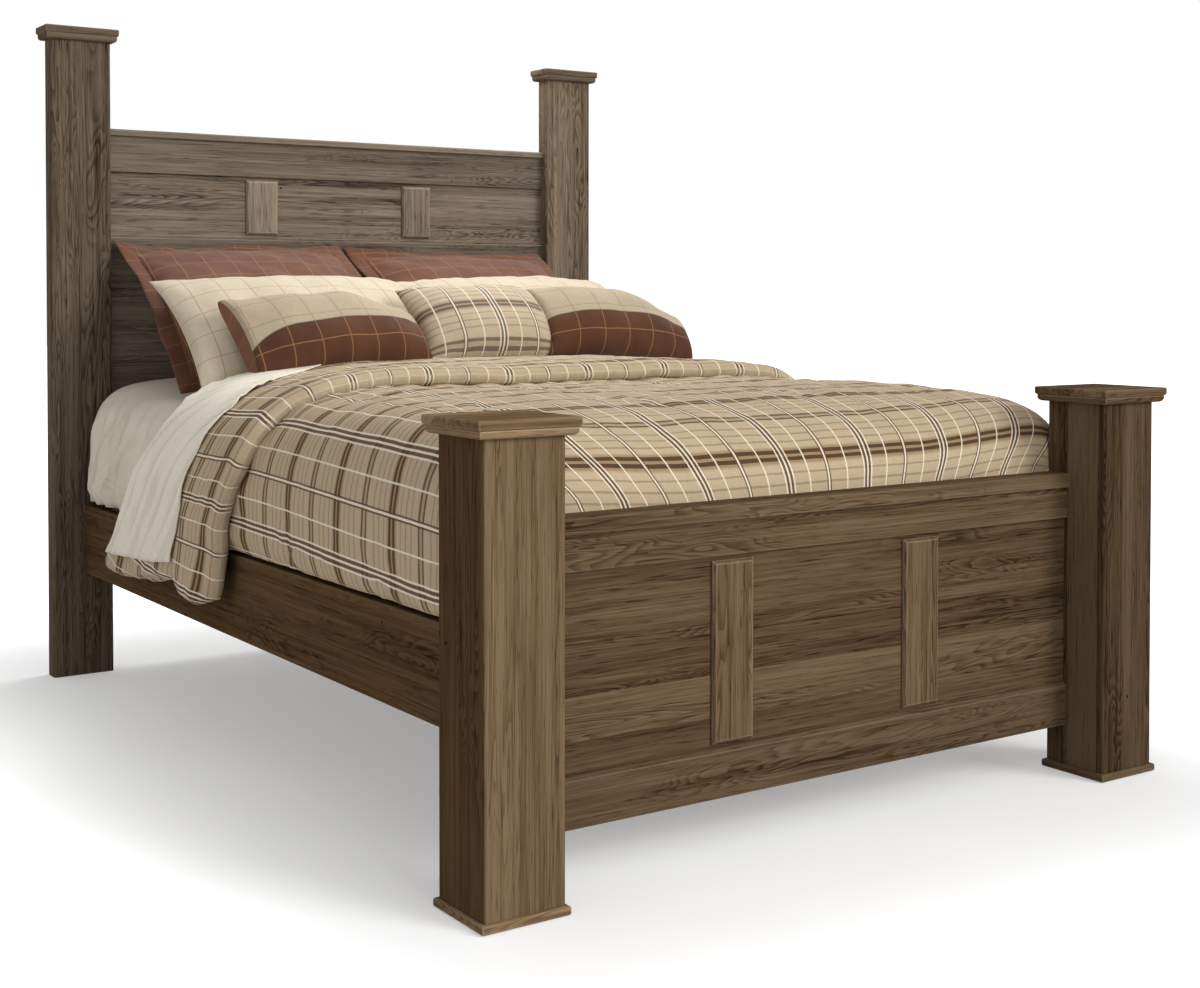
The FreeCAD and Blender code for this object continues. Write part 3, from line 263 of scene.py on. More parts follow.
# ---- side rails and what they carry
# The side rails hook into the posts and carry ledgers of plain softwood; three slats lie across them,
# each with a square leg under its middle. The softwood is sawn, unfinished and pale.
PINE_STOPS = [(0.1, tone(150, 116, 76)), (0.5, tone(190, 156, 110)), (1.0, tone(214, 184, 140))]
# The side rails are painted darker and warmer than the other oak: a painted shade.
RAIL_TONE_AND_PAINTED_SHADE, RAIL_TINT = 0.5, (1.0, 0.88, 0.76)
SAWN_ROUGH = 0.7
for side in ("left", "right"):
    boards += 1
    board = timber(f"side rail {side} oak", "Y", boards, shade=RAIL_TONE_AND_PAINTED_SHADE, tint=RAIL_TINT)
    clad(f"side_rail_{side}", board)
    boards += 1
    board = timber(f"ledger {side} pine", "Y", boards, PINE_STOPS, rough=SAWN_ROUGH)
    clad(f"ledger_{side}", board)
for place in ("front", "middle", "back"):
    for node, word, axis in (("slat", "slat", "X"), ("centre_leg", "leg", "Z")):
        boards += 1
        board = timber(f"{word} {place} pine", axis, boards, PINE_STOPS, rough=SAWN_ROUGH)
        clad(f"{node}_{place}", board)
clad("dowels", timber("dowel beech", "X", boards + 1, PINE_STOPS, rough=SAWN_ROUGH))

# ---- fixings and levelling feet
# Pressed steel hook and slot plates, zinc-plated inserts and screws, blackened bolts through the rails, and
# threaded levelling feet under the centre legs. The plating is slightly cloudy, with fine rubbing marks.
def noise(tree, vector, scale, detail):
    return add(tree, "TexNoise", {"Vector": vector, "Scale": scale, "Detail": detail}).outputs[0]


wear, wear_in, wear_out = group("plated steel", {"Place": "v"}, {"Cloud": "f", "Rub": "f"})
cloud = noise(wear, wear_in.outputs[0], 90.0, 4.0)
rub = stretched(wear, wear_in.outputs[0], 0.1, 900.0, 2.0, 0.6)
put(wear_out, {"Cloud": cloud, "Rub": rub})


def plated(name, dull, bright, rough):
    material, tree, shader = started(name)
    marks = add(tree, "Group", {0: add(tree, "TexCoord").outputs["Object"]}, node_tree=wear)
    relief = {"Strength": 0.1, "Distance": 0.0002, "Height": marks.outputs["Rub"]}
    put(shader, {"Base Color": ramp(tree, marks.outputs["Cloud"], [(0.35, dull), (0.7, bright)]),
                 "Roughness": remap(tree, marks.outputs["Rub"], 0.3, 0.7, rough - 0.08, rough + 0.1),
                 "Normal": add(tree, "Bump", relief).outputs[0], "Metallic": 1.0})
    return material


plate_steel = plated("plate steel", tone(96, 96, 98), tone(128, 127, 126), 0.46)
zinc = plated("zinc plating", tone(150, 150, 148), tone(188, 187, 180), 0.34)
black_steel = plated("blackened steel", tone(30, 28, 27), tone(48, 46, 44), 0.5)
foot_steel = plated("levelling foot", tone(120, 121, 124), tone(160, 160, 160), 0.38)
for name in ("hook_plates", "slot_plates"):
    clad(name, plate_steel)
for name in ("leg_inserts", "slat_screws"):
    clad(name, zinc)
for name in ("hook_bolts", "ledger_bolts"):
    clad(name, black_steel)
for place in ("front", "middle", "back"):
    clad(f"leveller_{place}", foot_steel)

# ---- foundation
# A low box of slats under a stretched knit cover, with a taped edge round its top. It lies on the three
# slats, inside the rails.
def waves(points, length, seed):
    """A soft, uneven swell between about -1 and 1, of that wavelength, with no repeat."""
    count = 7
    chance = np.random.default_rng(seed)
    total = np.zeros(len(points))
    for _ in range(count):
        way = chance.normal(size=3)
        way *= math.tau / (length * chance.uniform(0.75, 1.4)) / np.linalg.norm(way)
        total += np.sin(points @ way + chance.uniform(0, math.tau))
    return total / math.sqrt(count) / 1.2


def laid_flat(mesh, uvs):
    """Gives a mesh the map of its flat cloth, in metres."""
    corners = np.zeros(len(mesh.loops), np.int32)
    mesh.loops.foreach_get("vertex_index", corners)
    mesh.uv_layers.new(name="cloth").data.foreach_set("uv", uvs[corners].astype(np.float32).ravel())


def picked(piece):
    """Selects that piece alone, for the operators that follow."""
    bpy.ops.object.select_all(action="DESELECT")
    piece.select_set(True)
    bpy.context.view_layer.objects.active = piece


def points_of(piece):
    points = np.zeros(len(piece.data.vertices) * 3)
    piece.data.vertices.foreach_get("co", points)
    return points.reshape(-1, 3)


def applied(piece, kind, **settings):
    """Adds a modifier and applies it."""
    picked(piece)
    bpy.ops.object.modifier_add(type=kind)
    modifier = piece.modifiers[-1]
    for word, value in settings.items():
        setattr(modifier, word, value)
    bpy.ops.object.modifier_apply(modifier=modifier.name)


def finished(piece, material, slot, *stands_for):
    piece.data.polygons.foreach_set("use_smooth", [True] * len(piece.data.polygons))
    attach(piece, "bed")
    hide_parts(*stands_for)
    dressed(piece, material)


weave, weave_in, weave_out = group("woven threads", {"Cloth": "v"}, {"Slub": "f", "Relief": "f"})
threads = [stretched(weave, add(weave, "Mapping", {0: weave_in.outputs[0], 2: (0, 0, turn)}).outputs[0],
                     0.08, 950.0, 2.0, 0.6) for turn in (0, math.pi / 2)]
put(weave_out, {"Slub": sums(weave, "MULTIPLY", *threads), "Relief": sums(weave, "MAXIMUM", *threads)})


def fabric(name, paint, relief=0.3, sheen=0.2):
    """A woven cloth: paint gives its colour from the flat cloth's map, the threads its slubs and relief."""
    material, tree, shader = started(name)
    flat = add(tree, "UVMap", uv_map="cloth").outputs[0]
    woven = add(tree, "Group", {0: flat}, node_tree=weave)
    slub = remap(tree, woven.outputs["Slub"], 0.12, 0.42, 0.88, 1.08)
    colour = blend(tree, 1.0, paint(tree, flat), slub, "MULTIPLY")
    bump = add(tree, "Bump", {"Strength": relief, "Distance": 0.0007, "Height": woven.outputs["Relief"]})
    put(shader, {"Base Color": colour, "Normal": bump.outputs[0], "Roughness": 0.85, "Sheen Weight": sheen,
                 "Sheen Roughness": 0.5, "Specular IOR Level": 0.2})
    return material


def plain(colour, other):
    def paint(tree, flat):
        return ramp(tree, noise(tree, flat, 5.0, 3.0), [(0.3, other), (0.7, colour)])
    return paint


def soft_block(name, low, high, radius, cell, swell, seed):
    """A stuffed box with rounded edges: a cube cut fine, its corners drawn in, its faces let swell."""
    bpy.ops.object.select_all(action="DESELECT")
    bpy.ops.mesh.primitive_cube_add(size=1)
    piece = bpy.context.object
    piece.name = name
    piece.data.transform(Matrix.Diagonal((*(high - low), 1)))
    piece.data.transform(Matrix.Translation((low + high) / 2))
    applied(piece, "BEVEL", width=radius, segments=6)
    applied(piece, "REMESH", mode="VOXEL", voxel_size=cell)
    points = points_of(piece)
    normals = np.array([v.normal for v in piece.data.vertices])
    points -= normals * (swell * 0.6)
    points += normals * (swell * 0.5 * waves(points, 0.32, seed))[:, None]
    piece.data.vertices.foreach_set("co", np.clip(points, np.array(low), np.array(high)).ravel())
    laid_flat(piece.data, np.column_stack([points[:, 0], points[:, 1] + points[:, 2]]))
    return piece


low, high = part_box("foundation")
inset = Vector((0.004, 0.004, 0.004))
foundation = soft_block("foundation_cover", low + inset, high - inset, radius=0.04, cell=0.016, swell=0.003,
                        seed=3)
cover_cloth = fabric("foundation knit", plain(tone(196, 190, 178), tone(184, 177, 164)))
finished(foundation, cover_cloth, "foundation_cloth", "foundation")

# ---- mattress
# A spring mattress in striped ticking, its long edges eased over by years of made-up beds. It lies on the
# foundation, wholly under the fitted sheet.
def ticking(tree, flat):
    run = sums(tree, "FRACT", sums(tree, "MULTIPLY", parts(tree, flat)[0], 25.0))
    lines = [(0.0, tone(214, 208, 196)), (0.42, tone(150, 150, 152)), (0.5, tone(214, 208, 196)),
             (0.6, tone(178, 176, 174)), (0.64, tone(214, 208, 196))]
    return ramp(tree, run, lines, "CONSTANT")


def arch(x, half, square):
    """The height of an arch, from 1 in its middle to 0 at its side; a higher power makes it squarer."""
    return np.sqrt(np.clip(1 - (np.abs(x) / half) ** square, 0, 1))


WAIST = 0.595  # below this height the sides of the made-up bed hang straight down
BED_HALF, SHOULDER_RISE = 0.799, 0.191
low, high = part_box("mattress")
side_room, under_room, top_room = (Vector(room) for room in ((0.02, 0.02, 0), (0, 0, 0.004), (0, 0, 0.05)))
mattress = soft_block("mattress_body", low + side_room + under_room, high - side_room - top_room,
                      radius=0.12, cell=0.02, swell=0.006, seed=5)
points = points_of(mattress)
points[:, 2] = np.minimum(points[:, 2], WAIST + SHOULDER_RISE * arch(points[:, 0], BED_HALF, 6))
mattress.data.vertices.foreach_set("co", points.ravel())
finished(mattress, fabric("ticking", ticking), "mattress_ticking", "mattress")

# ---- fitted sheet
# Ivory cotton pulled over the mattress and tucked under its corners. It shows at the head, where it has
# soft creases down its sides, with painted shade in them; under the comforter it is drawn tighter.
def smooth(value, low, high):
    share = np.clip((value - low) / (high - low), 0, 1)
    return share * share * (3 - 2 * share)


def placed(name, data):
    """A new object in the scene."""
    piece = bpy.data.objects.new(name, data)
    bpy.context.scene.collection.objects.link(piece)
    return piece


def cloth_mesh(name, points, faces, uvs, **marks):
    """A piece of cloth with the map of its flat shape and named marks at its points."""
    mesh = bpy.data.meshes.new(name)
    mesh.from_pydata(points.tolist(), [], faces)
    laid_flat(mesh, uvs)
    for word, values in marks.items():
        mesh.attributes.new(word, "FLOAT", "POINT").data.foreach_set("value", values.astype(np.float32))
    return placed(name, mesh)


def grid_faces(rows, count):
    at = np.arange(rows * count).reshape(rows, count)
    return np.stack([at[:-1, :-1], at[:-1, 1:], at[1:, 1:], at[1:, :-1]], -1).reshape(-1, 4).tolist()


def rim_of(grid):
    """What lies round the edge of a grid, in order."""
    return np.concatenate([grid[0, :-1], grid[:-1, -1], grid[-1, :0:-1], grid[:0:-1, 0]])


def sheet_form(y):
    """The height of the sheet's top and how square its shoulders are, at that place along the bed."""
    bare = smooth(y, 0.42, 0.66)
    return 0.798 + 0.022 * bare, 6.0 + 7.0 * bare


def drawn_over(half, front, back, base, form, cell):
    """The outside of a sheet pulled over a block: a top grid and rings down its sides, moved onto a rounded
    form."""
    count_x, count_y, count_z = (round(size / cell) for size in (2 * half, back - front, WAIST + 0.2 - base))
    reach, middle = (back - front) / 2, (back + front) / 2
    margin = 0.15
    head_square, foot_square = 60, 14
    across, along = np.linspace(-1, 1, count_x + 1), np.linspace(-1, 1, count_y + 1)
    top = [(u * half, v * reach) for v in along for u in across]
    boxed = [(x, y, 0.0) for x, y in top]
    faces = grid_faces(count_y + 1, count_x + 1)
    last = rim = rim_of(np.arange(len(top)).reshape(count_y + 1, count_x + 1))
    for level in np.linspace(0, 1, count_z + 1)[1:]:
        ring = len(boxed) + np.arange(len(rim))
        boxed += [(*top[k], level) for k in rim]
        faces += np.stack([np.roll(last, -1), last, ring, np.roll(ring, -1)], -1).tolist()
        last = ring
    boxed = np.array(boxed)
    y = boxed[:, 1] + middle
    crest, power = form(y)
    z = crest - boxed[:, 2] * (crest - base)
    core = np.column_stack([np.clip(boxed[:, 0], margin - half, half - margin),
                            np.clip(boxed[:, 1], margin - reach, reach - margin),
                            np.clip(z, None, crest - margin)])
    way = np.column_stack([boxed[:, :2], z]) - core
    way /= np.linalg.norm(way, axis=1)[:, None]
    near, far = np.zeros(len(y)), np.full(len(y), 0.5)
    for _ in range(40):  # closes in on the form from a core inside it
        mid = (near + far) / 2
        spot = core + way * mid[:, None]
        end_power = np.where(spot[:, 1] > 0, head_square, foot_square)
        size = np.abs(spot[:, 0] / half) ** power + np.abs(spot[:, 1] / reach) ** end_power
        size += (np.clip(spot[:, 2] - WAIST, 0, None) / (crest - WAIST)) ** 2
        near, far = np.where(size < 1, mid, near), np.where(size < 1, far, mid)
    spot = core + way * near[:, None]
    spot[:, 1] += middle
    flat = np.column_stack([spot[:, 0] + np.sign(spot[:, 0]) * boxed[:, 2] * 0.3, spot[:, 1]])
    return spot, faces, flat


def widened(points):
    """At the head end every layer of the bed is wider and rounder at the shoulders."""
    x, y, above = points[..., 0], points[..., 1], np.clip(points[..., 2] - WAIST, 0, None)
    from_foot, to_head = smooth(y, -0.25, 0.3), smooth(y, 0.92, 0.74)
    points[..., 2] -= 0.10 * above * smooth(np.abs(x), 0.25, 0.72) * from_foot * to_head
    points[..., 0] += np.sign(x) * 0.013 * smooth(y, -0.05, 0.45) * smooth(np.abs(x), 0.55, 0.78)
    return points


low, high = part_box("fitted_sheet")
points, faces, flat = drawn_over(BED_HALF, low.y, high.y, low.z + 0.004, sheet_form, cell=0.016)
x, y, z = points.T
showing = smooth(y, 0.35, 0.55)
flank = smooth(np.abs(x), 0.70, 0.79) * showing
lean_y = y + 0.10 * np.sin((z - 0.5) * 7)
crease, painted_crease_shade = np.zeros(len(points)), np.zeros(len(points))
CREASES = ((0.80, 0.012, 5), (0.86, 0.018, 6), (0.905, 0.010, 4), (0.955, 0.016, 5), (1.01, 0.012, 4),
           (0.70, 0.014, 4), (0.62, 0.016, 4))  # the place along the bed, width and depth of each
for place, width, depth in CREASES:
    path = place + 0.012 * np.sin(z * 23 + place * 40)
    crease += depth * 0.0036 * np.exp(-(((lean_y - path) / width) ** 2))
    # A painted shade: a dark line beside each crease.
    painted_crease_shade += depth / 6 * np.exp(-(((lean_y - path - 1.4 * width) / (0.8 * width)) ** 2))
crease *= 0.35 + 0.65 * smooth(z, 0.80, 0.62)
x += np.sign(x) * flank * (crease + 0.004 * waves(points, 0.07, 11) - 0.008)
z += showing * 0.003 * waves(points, 0.16, 12) * (1 - flank)
x -= np.sign(x) * smooth(z, 0.53, 0.485) * 0.02 * smooth(np.abs(x), 0.6, 0.75)
points = widened(points)
x += np.sign(x) * 0.008 * smooth(y, 0.76, 0.92) * smooth(np.abs(x), 0.6, 0.8)
# Painted shade: the mark that darkens the creases down the sheet's flanks.
painted_crease_shade = np.clip(painted_crease_shade * flank * smooth(z, 0.82, 0.72), 0, 1)
fitted = cloth_mesh("fitted_sheet_cloth", points, faces, flat, fold=painted_crease_shade)
applied(fitted, "SOLIDIFY", thickness=0.003, offset=-1.0)


def mark(tree, word):
    """The value of a mark that the cloth has at its points."""
    return add(tree, "Attribute", attribute_name=word).outputs["Fac"]


def cloth_with_painted_fold_shade(colour, other, shade):
    """Plain cloth, with a painted shade down in its folds."""
    def paint(tree, flat):
        # The fold mark tells where the shade is painted.
        fold = sums(tree, "MULTIPLY", mark(tree, "fold"), 0.55)
        return blend(tree, fold, plain(colour, other)(tree, flat), shade)
    return paint


# The colour of the painted shade in the sheets' folds.
PAINTED_FOLD_SHADE = tone(176, 162, 138)
sheet_cotton = fabric("ivory cotton", cloth_with_painted_fold_shade(tone(228, 218, 200), tone(222, 211, 192), PAINTED_FOLD_SHADE),
                      relief=0.15, sheen=0.1)
finished(fitted, sheet_cotton, "ivory_sheet", "fitted_sheet")

# ---- comforter
# A filled plaid comforter, tacked through to its lining. It is tucked at the foot and along the rails,
# turned back in one wide band at the pillows, and the band's corners hang outside the rails.
HEAD_AT = 1.139  # places along the bed are measured from the front of the foot posts
HALF, CROWN, SQUARE = 0.812, 0.829, 8
LOWEST = 0.28
# The line of one side, from the bed's middle over the top and down.
over = HALF * np.sin(np.linspace(0, math.pi / 2, 700))
rise = WAIST + (CROWN - WAIST) * arch(over, HALF, SQUARE)
hang = np.linspace(WAIST, LOWEST, 130)[1:]
side_x, side_z = np.concatenate([over, np.full(len(hang), HALF)]), np.concatenate([rise, hang])
side_s = np.concatenate([[0], np.cumsum(np.hypot(np.diff(side_x), np.diff(side_z)))])
slope_x, slope_z = np.gradient(side_x, side_s), np.gradient(side_z, side_s)


def at_height(z):
    """How far from the bed's middle, along the cloth, its side comes down to that height."""
    return np.interp(-np.asarray(z), -side_z, side_s)


def on_bed(s, y, lift):
    """Points of a layer of bedding: s is the way along the cloth from the bed's middle, lift the height
    above the comforter."""
    near = np.abs(s)
    x = np.interp(near, side_s, side_x) - np.interp(near, side_s, slope_z) * lift
    z = np.interp(near, side_s, side_z) + np.interp(near, side_s, slope_x) * lift
    return widened(np.stack([np.sign(s) * x, y - HEAD_AT, z], axis=-1))


def curve(top_places, side_heights, values):
    """A smooth line through measured places: the first lie on the top, the rest at heights down the side."""
    fine = np.linspace(0, side_s[-1], 500)
    line = np.interp(fine, np.concatenate([top_places, at_height(side_heights)]), values)
    width = 23
    window = np.hanning(width + 2)[1:-1]
    line = np.convolve(np.pad(line, width // 2, mode="edge"), window / window.sum(), mode="valid")
    return lambda s: np.interp(np.abs(s), fine, line)


fold_line = curve([0, 0.4, 0.66], [0.75, 0.72, 0.68, 0.642, 0.582, 0.525, 0.461, 0.388, 0.334],
                  [1.640, 1.615, 1.540, 1.500, 1.494, 1.524, 1.558, 1.629, 1.668, 1.712, 1.790, 1.845])
edge_line = curve([0, 0.4, 0.58, 0.66],
                  [0.76, 0.71, 0.663, 0.615, 0.578, 0.534, 0.496, 0.444, 0.391, 0.353],
                  [1.050, 1.040, 1.015, 1.005, 1.035, 1.046, 1.056, 1.092, 1.115, 1.145, 1.141, 1.150,
                   1.160, 1.178])
HEM_PLACES = [1.10, 1.155, 1.175, 1.223, 1.298, 1.362, 1.405, 1.455, 1.61, 1.735, 1.85, 1.95]
HEM_HEIGHTS = [0.430, 0.395, 0.372, 0.355, 0.353, 0.364, 0.388, 0.386, 0.361, 0.355, 0.351, 0.350]
HEM_FROM, HEM_TO = 1.85, 1.175
BAND_LIFT = 0.032
FOOT_AT, LEVEL_AT, FOLD_AT = 0.160, 0.60, 1.64  # its foot, the end of the rise from it, and the fold
FOOT_TOP, FOOT_RUN, STEEP = 0.638, 0.44, 2 / 2.6
TUCK_HEIGHT, HANG_HEIGHT = 0.480, 0.351
columns = np.linspace(-1, 1, 191)

# Its body: up from the tucked foot, over the end and along the top to the fold.
front_rows = [(FOOT_AT, FOOT_TOP, 1 - k / 9) for k in range(9)]
front_rows += [(LEVEL_AT - FOOT_RUN * math.sin(turn) ** STEEP,
                FOOT_TOP + (CROWN - FOOT_TOP) * abs(math.cos(turn)) ** STEEP, 0.0)
               for turn in np.linspace(math.pi / 2, 0, 27)]
front_rows += [(y, CROWN, 0.0) for y in np.linspace(LEVEL_AT, FOLD_AT, 84)[1:]]
row_y, row_top, row_down = (np.array(column)[:, None] for column in zip(*front_rows))
tucked, hung = at_height(TUCK_HEIGHT), at_height(HANG_HEIGHT)
row_s = tucked + (hung - tucked) * smooth(row_y, 1.15, 1.45)
s_main = columns[None, :] * row_s
share = smooth(row_y, 0.95, FOLD_AT)
y_main = row_y + share * (fold_line(s_main) - fold_line(0.0))
main = on_bed(s_main, y_main, 0.0)
x, z = main[..., 0], main[..., 2]
raised = (row_top - WAIST) / (CROWN - WAIST)
z[:] = np.where(z > WAIST, WAIST + (z - WAIST) * raised, z)
squarer = SQUARE + 10 * smooth(row_y, 1.5, 0.3)
boxy = WAIST + (row_top - WAIST) * arch(x, HALF, squarer)
z[:] = np.where(z > WAIST, z + (boxy - z) * smooth(row_y, 1.5, 0.5), z)
bunched = smooth(np.abs(x), 0.30, 0.74) * smooth(row_y, 0.50, 0.20) * smooth(z, 0.56, 0.62)
z += 0.022 * bunched * (1 - row_down)
z -= row_down * np.clip(z - 0.50, 0, None)
narrowing = np.clip((0.5 - row_y) / 0.345, 0, 1)
x *= (1 - narrowing ** 16) ** (1 / 16)
tuck = smooth(z, 0.53, 0.48) * smooth(row_y, 1.35, 1.15)
x -= np.sign(x) * 0.010 * tuck * smooth(np.abs(x), 0.5, 0.7)

# The band, and the roll of cloth at the fold.
steps = np.linspace(0, 1, 52)[:, None]
hem_s = at_height(np.interp(HEM_FROM + (HEM_TO - HEM_FROM) * steps, HEM_PLACES, HEM_HEIGHTS))
s_band = columns[None, :] * hem_s
y_band = fold_line(s_band) + (edge_line(s_band) - fold_line(s_band)) * steps
lift = BAND_LIFT - 0.008 * smooth(steps, 0.93, 1.0) * np.ones_like(s_band)
band = on_bed(s_band, y_band, lift)
roll = []
for angle in np.linspace(0, math.pi, 8)[1:-1]:
    s_roll = s_main[-1] + (s_band[0] - s_main[-1]) * angle / math.pi
    roll.append(on_bed(s_roll, fold_line(s_roll) + BAND_LIFT / 2 * math.sin(angle),
                       BAND_LIFT / 2 * (1 - math.cos(angle))))
sheet_grid = np.concatenate([main, np.array(roll), band])
s_grid = np.concatenate([s_main, np.repeat(s_main[-1:], len(roll), 0), s_band])

# Where each point lies on the flat cloth.
rows, count = s_grid.shape
middle = count // 2
length = np.concatenate([[0], np.cumsum(np.linalg.norm(np.diff(sheet_grid[:, middle], axis=0), axis=1))])
v_grid = np.repeat(length[:, None], count, 1)
v_grid[: len(main)] += y_main - row_y
v_grid[len(main):] += fold_line(s_grid[len(main):]) - fold_line(0.0)
v_grid[-len(band):] = length[-1] - (y_band - edge_line(s_band))
paces = np.linalg.norm(np.diff(sheet_grid, axis=1), axis=2)
u_grid = np.concatenate([-np.cumsum(paces[:, :middle][:, ::-1], axis=1)[:, ::-1], np.zeros((rows, 1)),
                         np.cumsum(paces[:, middle:], axis=1)], axis=1)
down_side = at_height(0.50)
for row in range(len(main)):
    reached = np.interp(down_side, s_main[row, middle:], u_grid[row, middle:])
    u_grid[row] *= (down_side - 0.033 * smooth(row_y[row, 0], 1.15, 0.2)) / reached
PLAID_SHIFT, BAND_SHIFT, BAND_SPREAD = 0.066, 0.03, 0.058  # they bring the stripes to their places
u_grid += PLAID_SHIFT
u_grid[-len(band):] += BAND_SHIFT + BAND_SPREAD * smooth(s_band, -0.95, -0.2)


def face_ways(grid):
    """The way each point of a grid faces."""
    ways = np.cross(np.gradient(grid, axis=1), np.gradient(grid, axis=0))
    return ways / np.maximum(np.linalg.norm(ways, axis=2), 1e-9)[..., None]


def let_hang(grid):
    """Folds in what hangs below the rails' tops: always outward, deeper towards the hem."""
    x, y, z = (grid[..., k] for k in range(3))
    loose = smooth(z, 0.56, 0.36) * smooth(y, -0.02, 0.10) * smooth(np.abs(x), 0.74, 0.79)
    phase = np.where(x < 0, 0.0, 1.9)
    fold = 0.5 + 0.5 * np.sin(math.tau * (y - 0.28) / 0.235 + phase + 3.0 * (0.5 - z))
    fine = 0.5 + 0.5 * np.sin(math.tau * y / 0.092 + 2 * phase + 5.0 * z)
    notch = np.exp(-(((y - 0.345) / 0.03) ** 2))
    grid[..., 0] += np.sign(x) * loose * (0.011 * fold + 0.004 * fine - 0.010 * notch + 0.004)
    return grid


def settle(grid):
    """The lie of soft layers on one another, shared by all of them."""
    flat_points = grid.reshape(-1, 3)
    rolling = 0.0035 * waves(flat_points, 0.42, 21) + 0.002 * waves(flat_points, 0.17, 22)
    top = smooth(grid[..., 2], 0.70, 0.80)
    grid[..., 2] += rolling.reshape(grid.shape[:2]) * top
    return grid


# Tacks through the filling, puckers along the band's edge and small waves.
sheet_grid = let_hang(settle(sheet_grid))
facing = face_ways(sheet_grid)
outward = np.ones(rows)
outward[len(main):] = -1
spread = np.zeros((rows, count))
TACK_ROWS, TACK_COLUMNS = (0.52, 0.93, 1.34), (-1.02, -0.62, -0.21, 0.21, 0.62, 1.02)
for row_place in TACK_ROWS:
    for column_place in TACK_COLUMNS:
        far_s, far_v = s_grid - column_place, v_grid - row_place
        away, round_it = np.hypot(far_s, far_v), np.arctan2(far_v, far_s)
        spread -= 0.006 * np.exp(-((away / 0.02) ** 2))
        spread += 0.0026 * np.cos(5 * round_it + column_place * 9) * np.exp(-(((away - 0.05) / 0.04) ** 2))
        spread -= 0.003 * np.exp(-((away / 0.10) ** 2))
seam_far = y_main - edge_line(s_main)
pucker = np.exp(-((seam_far / 0.055) ** 2)) * np.sin(s_main * math.tau / 0.085 + 2 * np.sin(s_main * 11))
spread[: len(main)] += 0.0028 * pucker
sway = 0.25 * np.sin(s_grid * 4.1) + 0.15 * np.sin(s_grid * 9.7 + 1)
cross_wave = np.sin(math.tau * (v_grid / 0.15 + sway))
spread += 0.0010 * cross_wave * smooth(np.abs(s_grid), 0.95, 0.6)
flat_points = np.column_stack([s_grid.ravel(), v_grid.ravel(), 0 * s_grid.ravel()])
spread += 0.0008 * waves(flat_points, 0.06, 33).reshape(rows, count)
sheet_grid += facing * (spread * outward[:, None])[..., None]

QUILT_THICK, BODY_SHARE, HEM_ROUND = 0.042, 0.43, 0.026  # all but the band has a share of the thickness
row_ends = np.concatenate([row_s, np.repeat(row_s[-1:], len(roll), 0), hem_s])
from_side = (1 - np.abs(columns))[None, :] * row_ends
from_edge = np.minimum(from_side, (length[-1] - length)[:, None])
plump = np.where(np.arange(rows) < len(main) + len(roll) // 2, BODY_SHARE, 1.0)[:, None]
fill = plump * (0.25 + 0.75 * np.sqrt(1 - (1 - np.clip(from_edge / HEM_ROUND, 0, 1)) ** 2))
comforter = cloth_mesh("comforter_quilt", sheet_grid.reshape(-1, 3), grid_faces(rows, count),
                       np.column_stack([u_grid.ravel(), v_grid.ravel()]), hem=from_edge.ravel())
weights = comforter.vertex_groups.new(name="fill")
for k, weight in enumerate(fill.ravel()):
    weights.add([k], float(weight), "REPLACE")
applied(comforter, "SOLIDIFY", thickness=QUILT_THICK, offset=0.0, vertex_group="fill",
        thickness_vertex_group=0.02)
comforter.vertex_groups.clear()

plaid, plaid_in, plaid_out = group("plaid", {"Cloth": "v"}, {"Color": "c"})
run_x, run_y, _ = parts(plaid, plaid_in.outputs[0])
PITCH, REPEATS_OFF = 0.23, 40.0
CLEAR = (0.0, 0.0, 0.0, 1.0)


def stripes(*kinds):
    """Where the tone changes in one repeat, for kinds of stripe: a letter, a width and where each starts."""
    changes = {0.0: ""}
    for letter, width, starts in kinds:
        for start in starts:
            changes[start] = letter
            if start + width < 1:
                changes.setdefault(round(start + width, 3), "")
    return sorted(changes.items())


# w is white, d dark, s the pair between the dark ones and f fine.
WARP = stripes(("w", 0.010, (0.0, 0.99)), ("d", 0.026, (0.010, 0.964)),
               ("w", 0.015, (0.041, 0.241, 0.726, 0.944)), ("d", 0.015, (0.466, 0.501)),
               ("w", 0.020, (0.481,)))
WEFT = stripes(("d", 0.033, (0.014, 0.953)), ("s", 0.029, (0.446, 0.515)),
               ("f", 0.018, (0.135, 0.225, 0.315, 0.66, 0.75, 0.84)))
WARP_TONES = {"w": (1, 1, 1, 1), "d": (0.5, 0.5, 0.5, 1), "": CLEAR}
WEFT_TONES = {"d": (1, 1, 1, 1), "s": (0.86, 0.86, 0.86, 1), "f": (0.4, 0.4, 0.4, 1), "": CLEAR}


def apart(tree, first, second):
    return sums(tree, "ABSOLUTE", sums(tree, "SUBTRACT", first, second))


def repeats(tree, distance):
    """How many repeats of the check lie before that place, from a start well off the cloth."""
    return sums(tree, "MULTIPLY_ADD", distance, 1 / PITCH, REPEATS_OFF)


def banded(tree, distance, lines, tones):
    turned = sums(tree, "FRACT", repeats(tree, distance))
    return ramp(tree, turned, [(place, tones[letter]) for place, letter in lines], "CONSTANT")


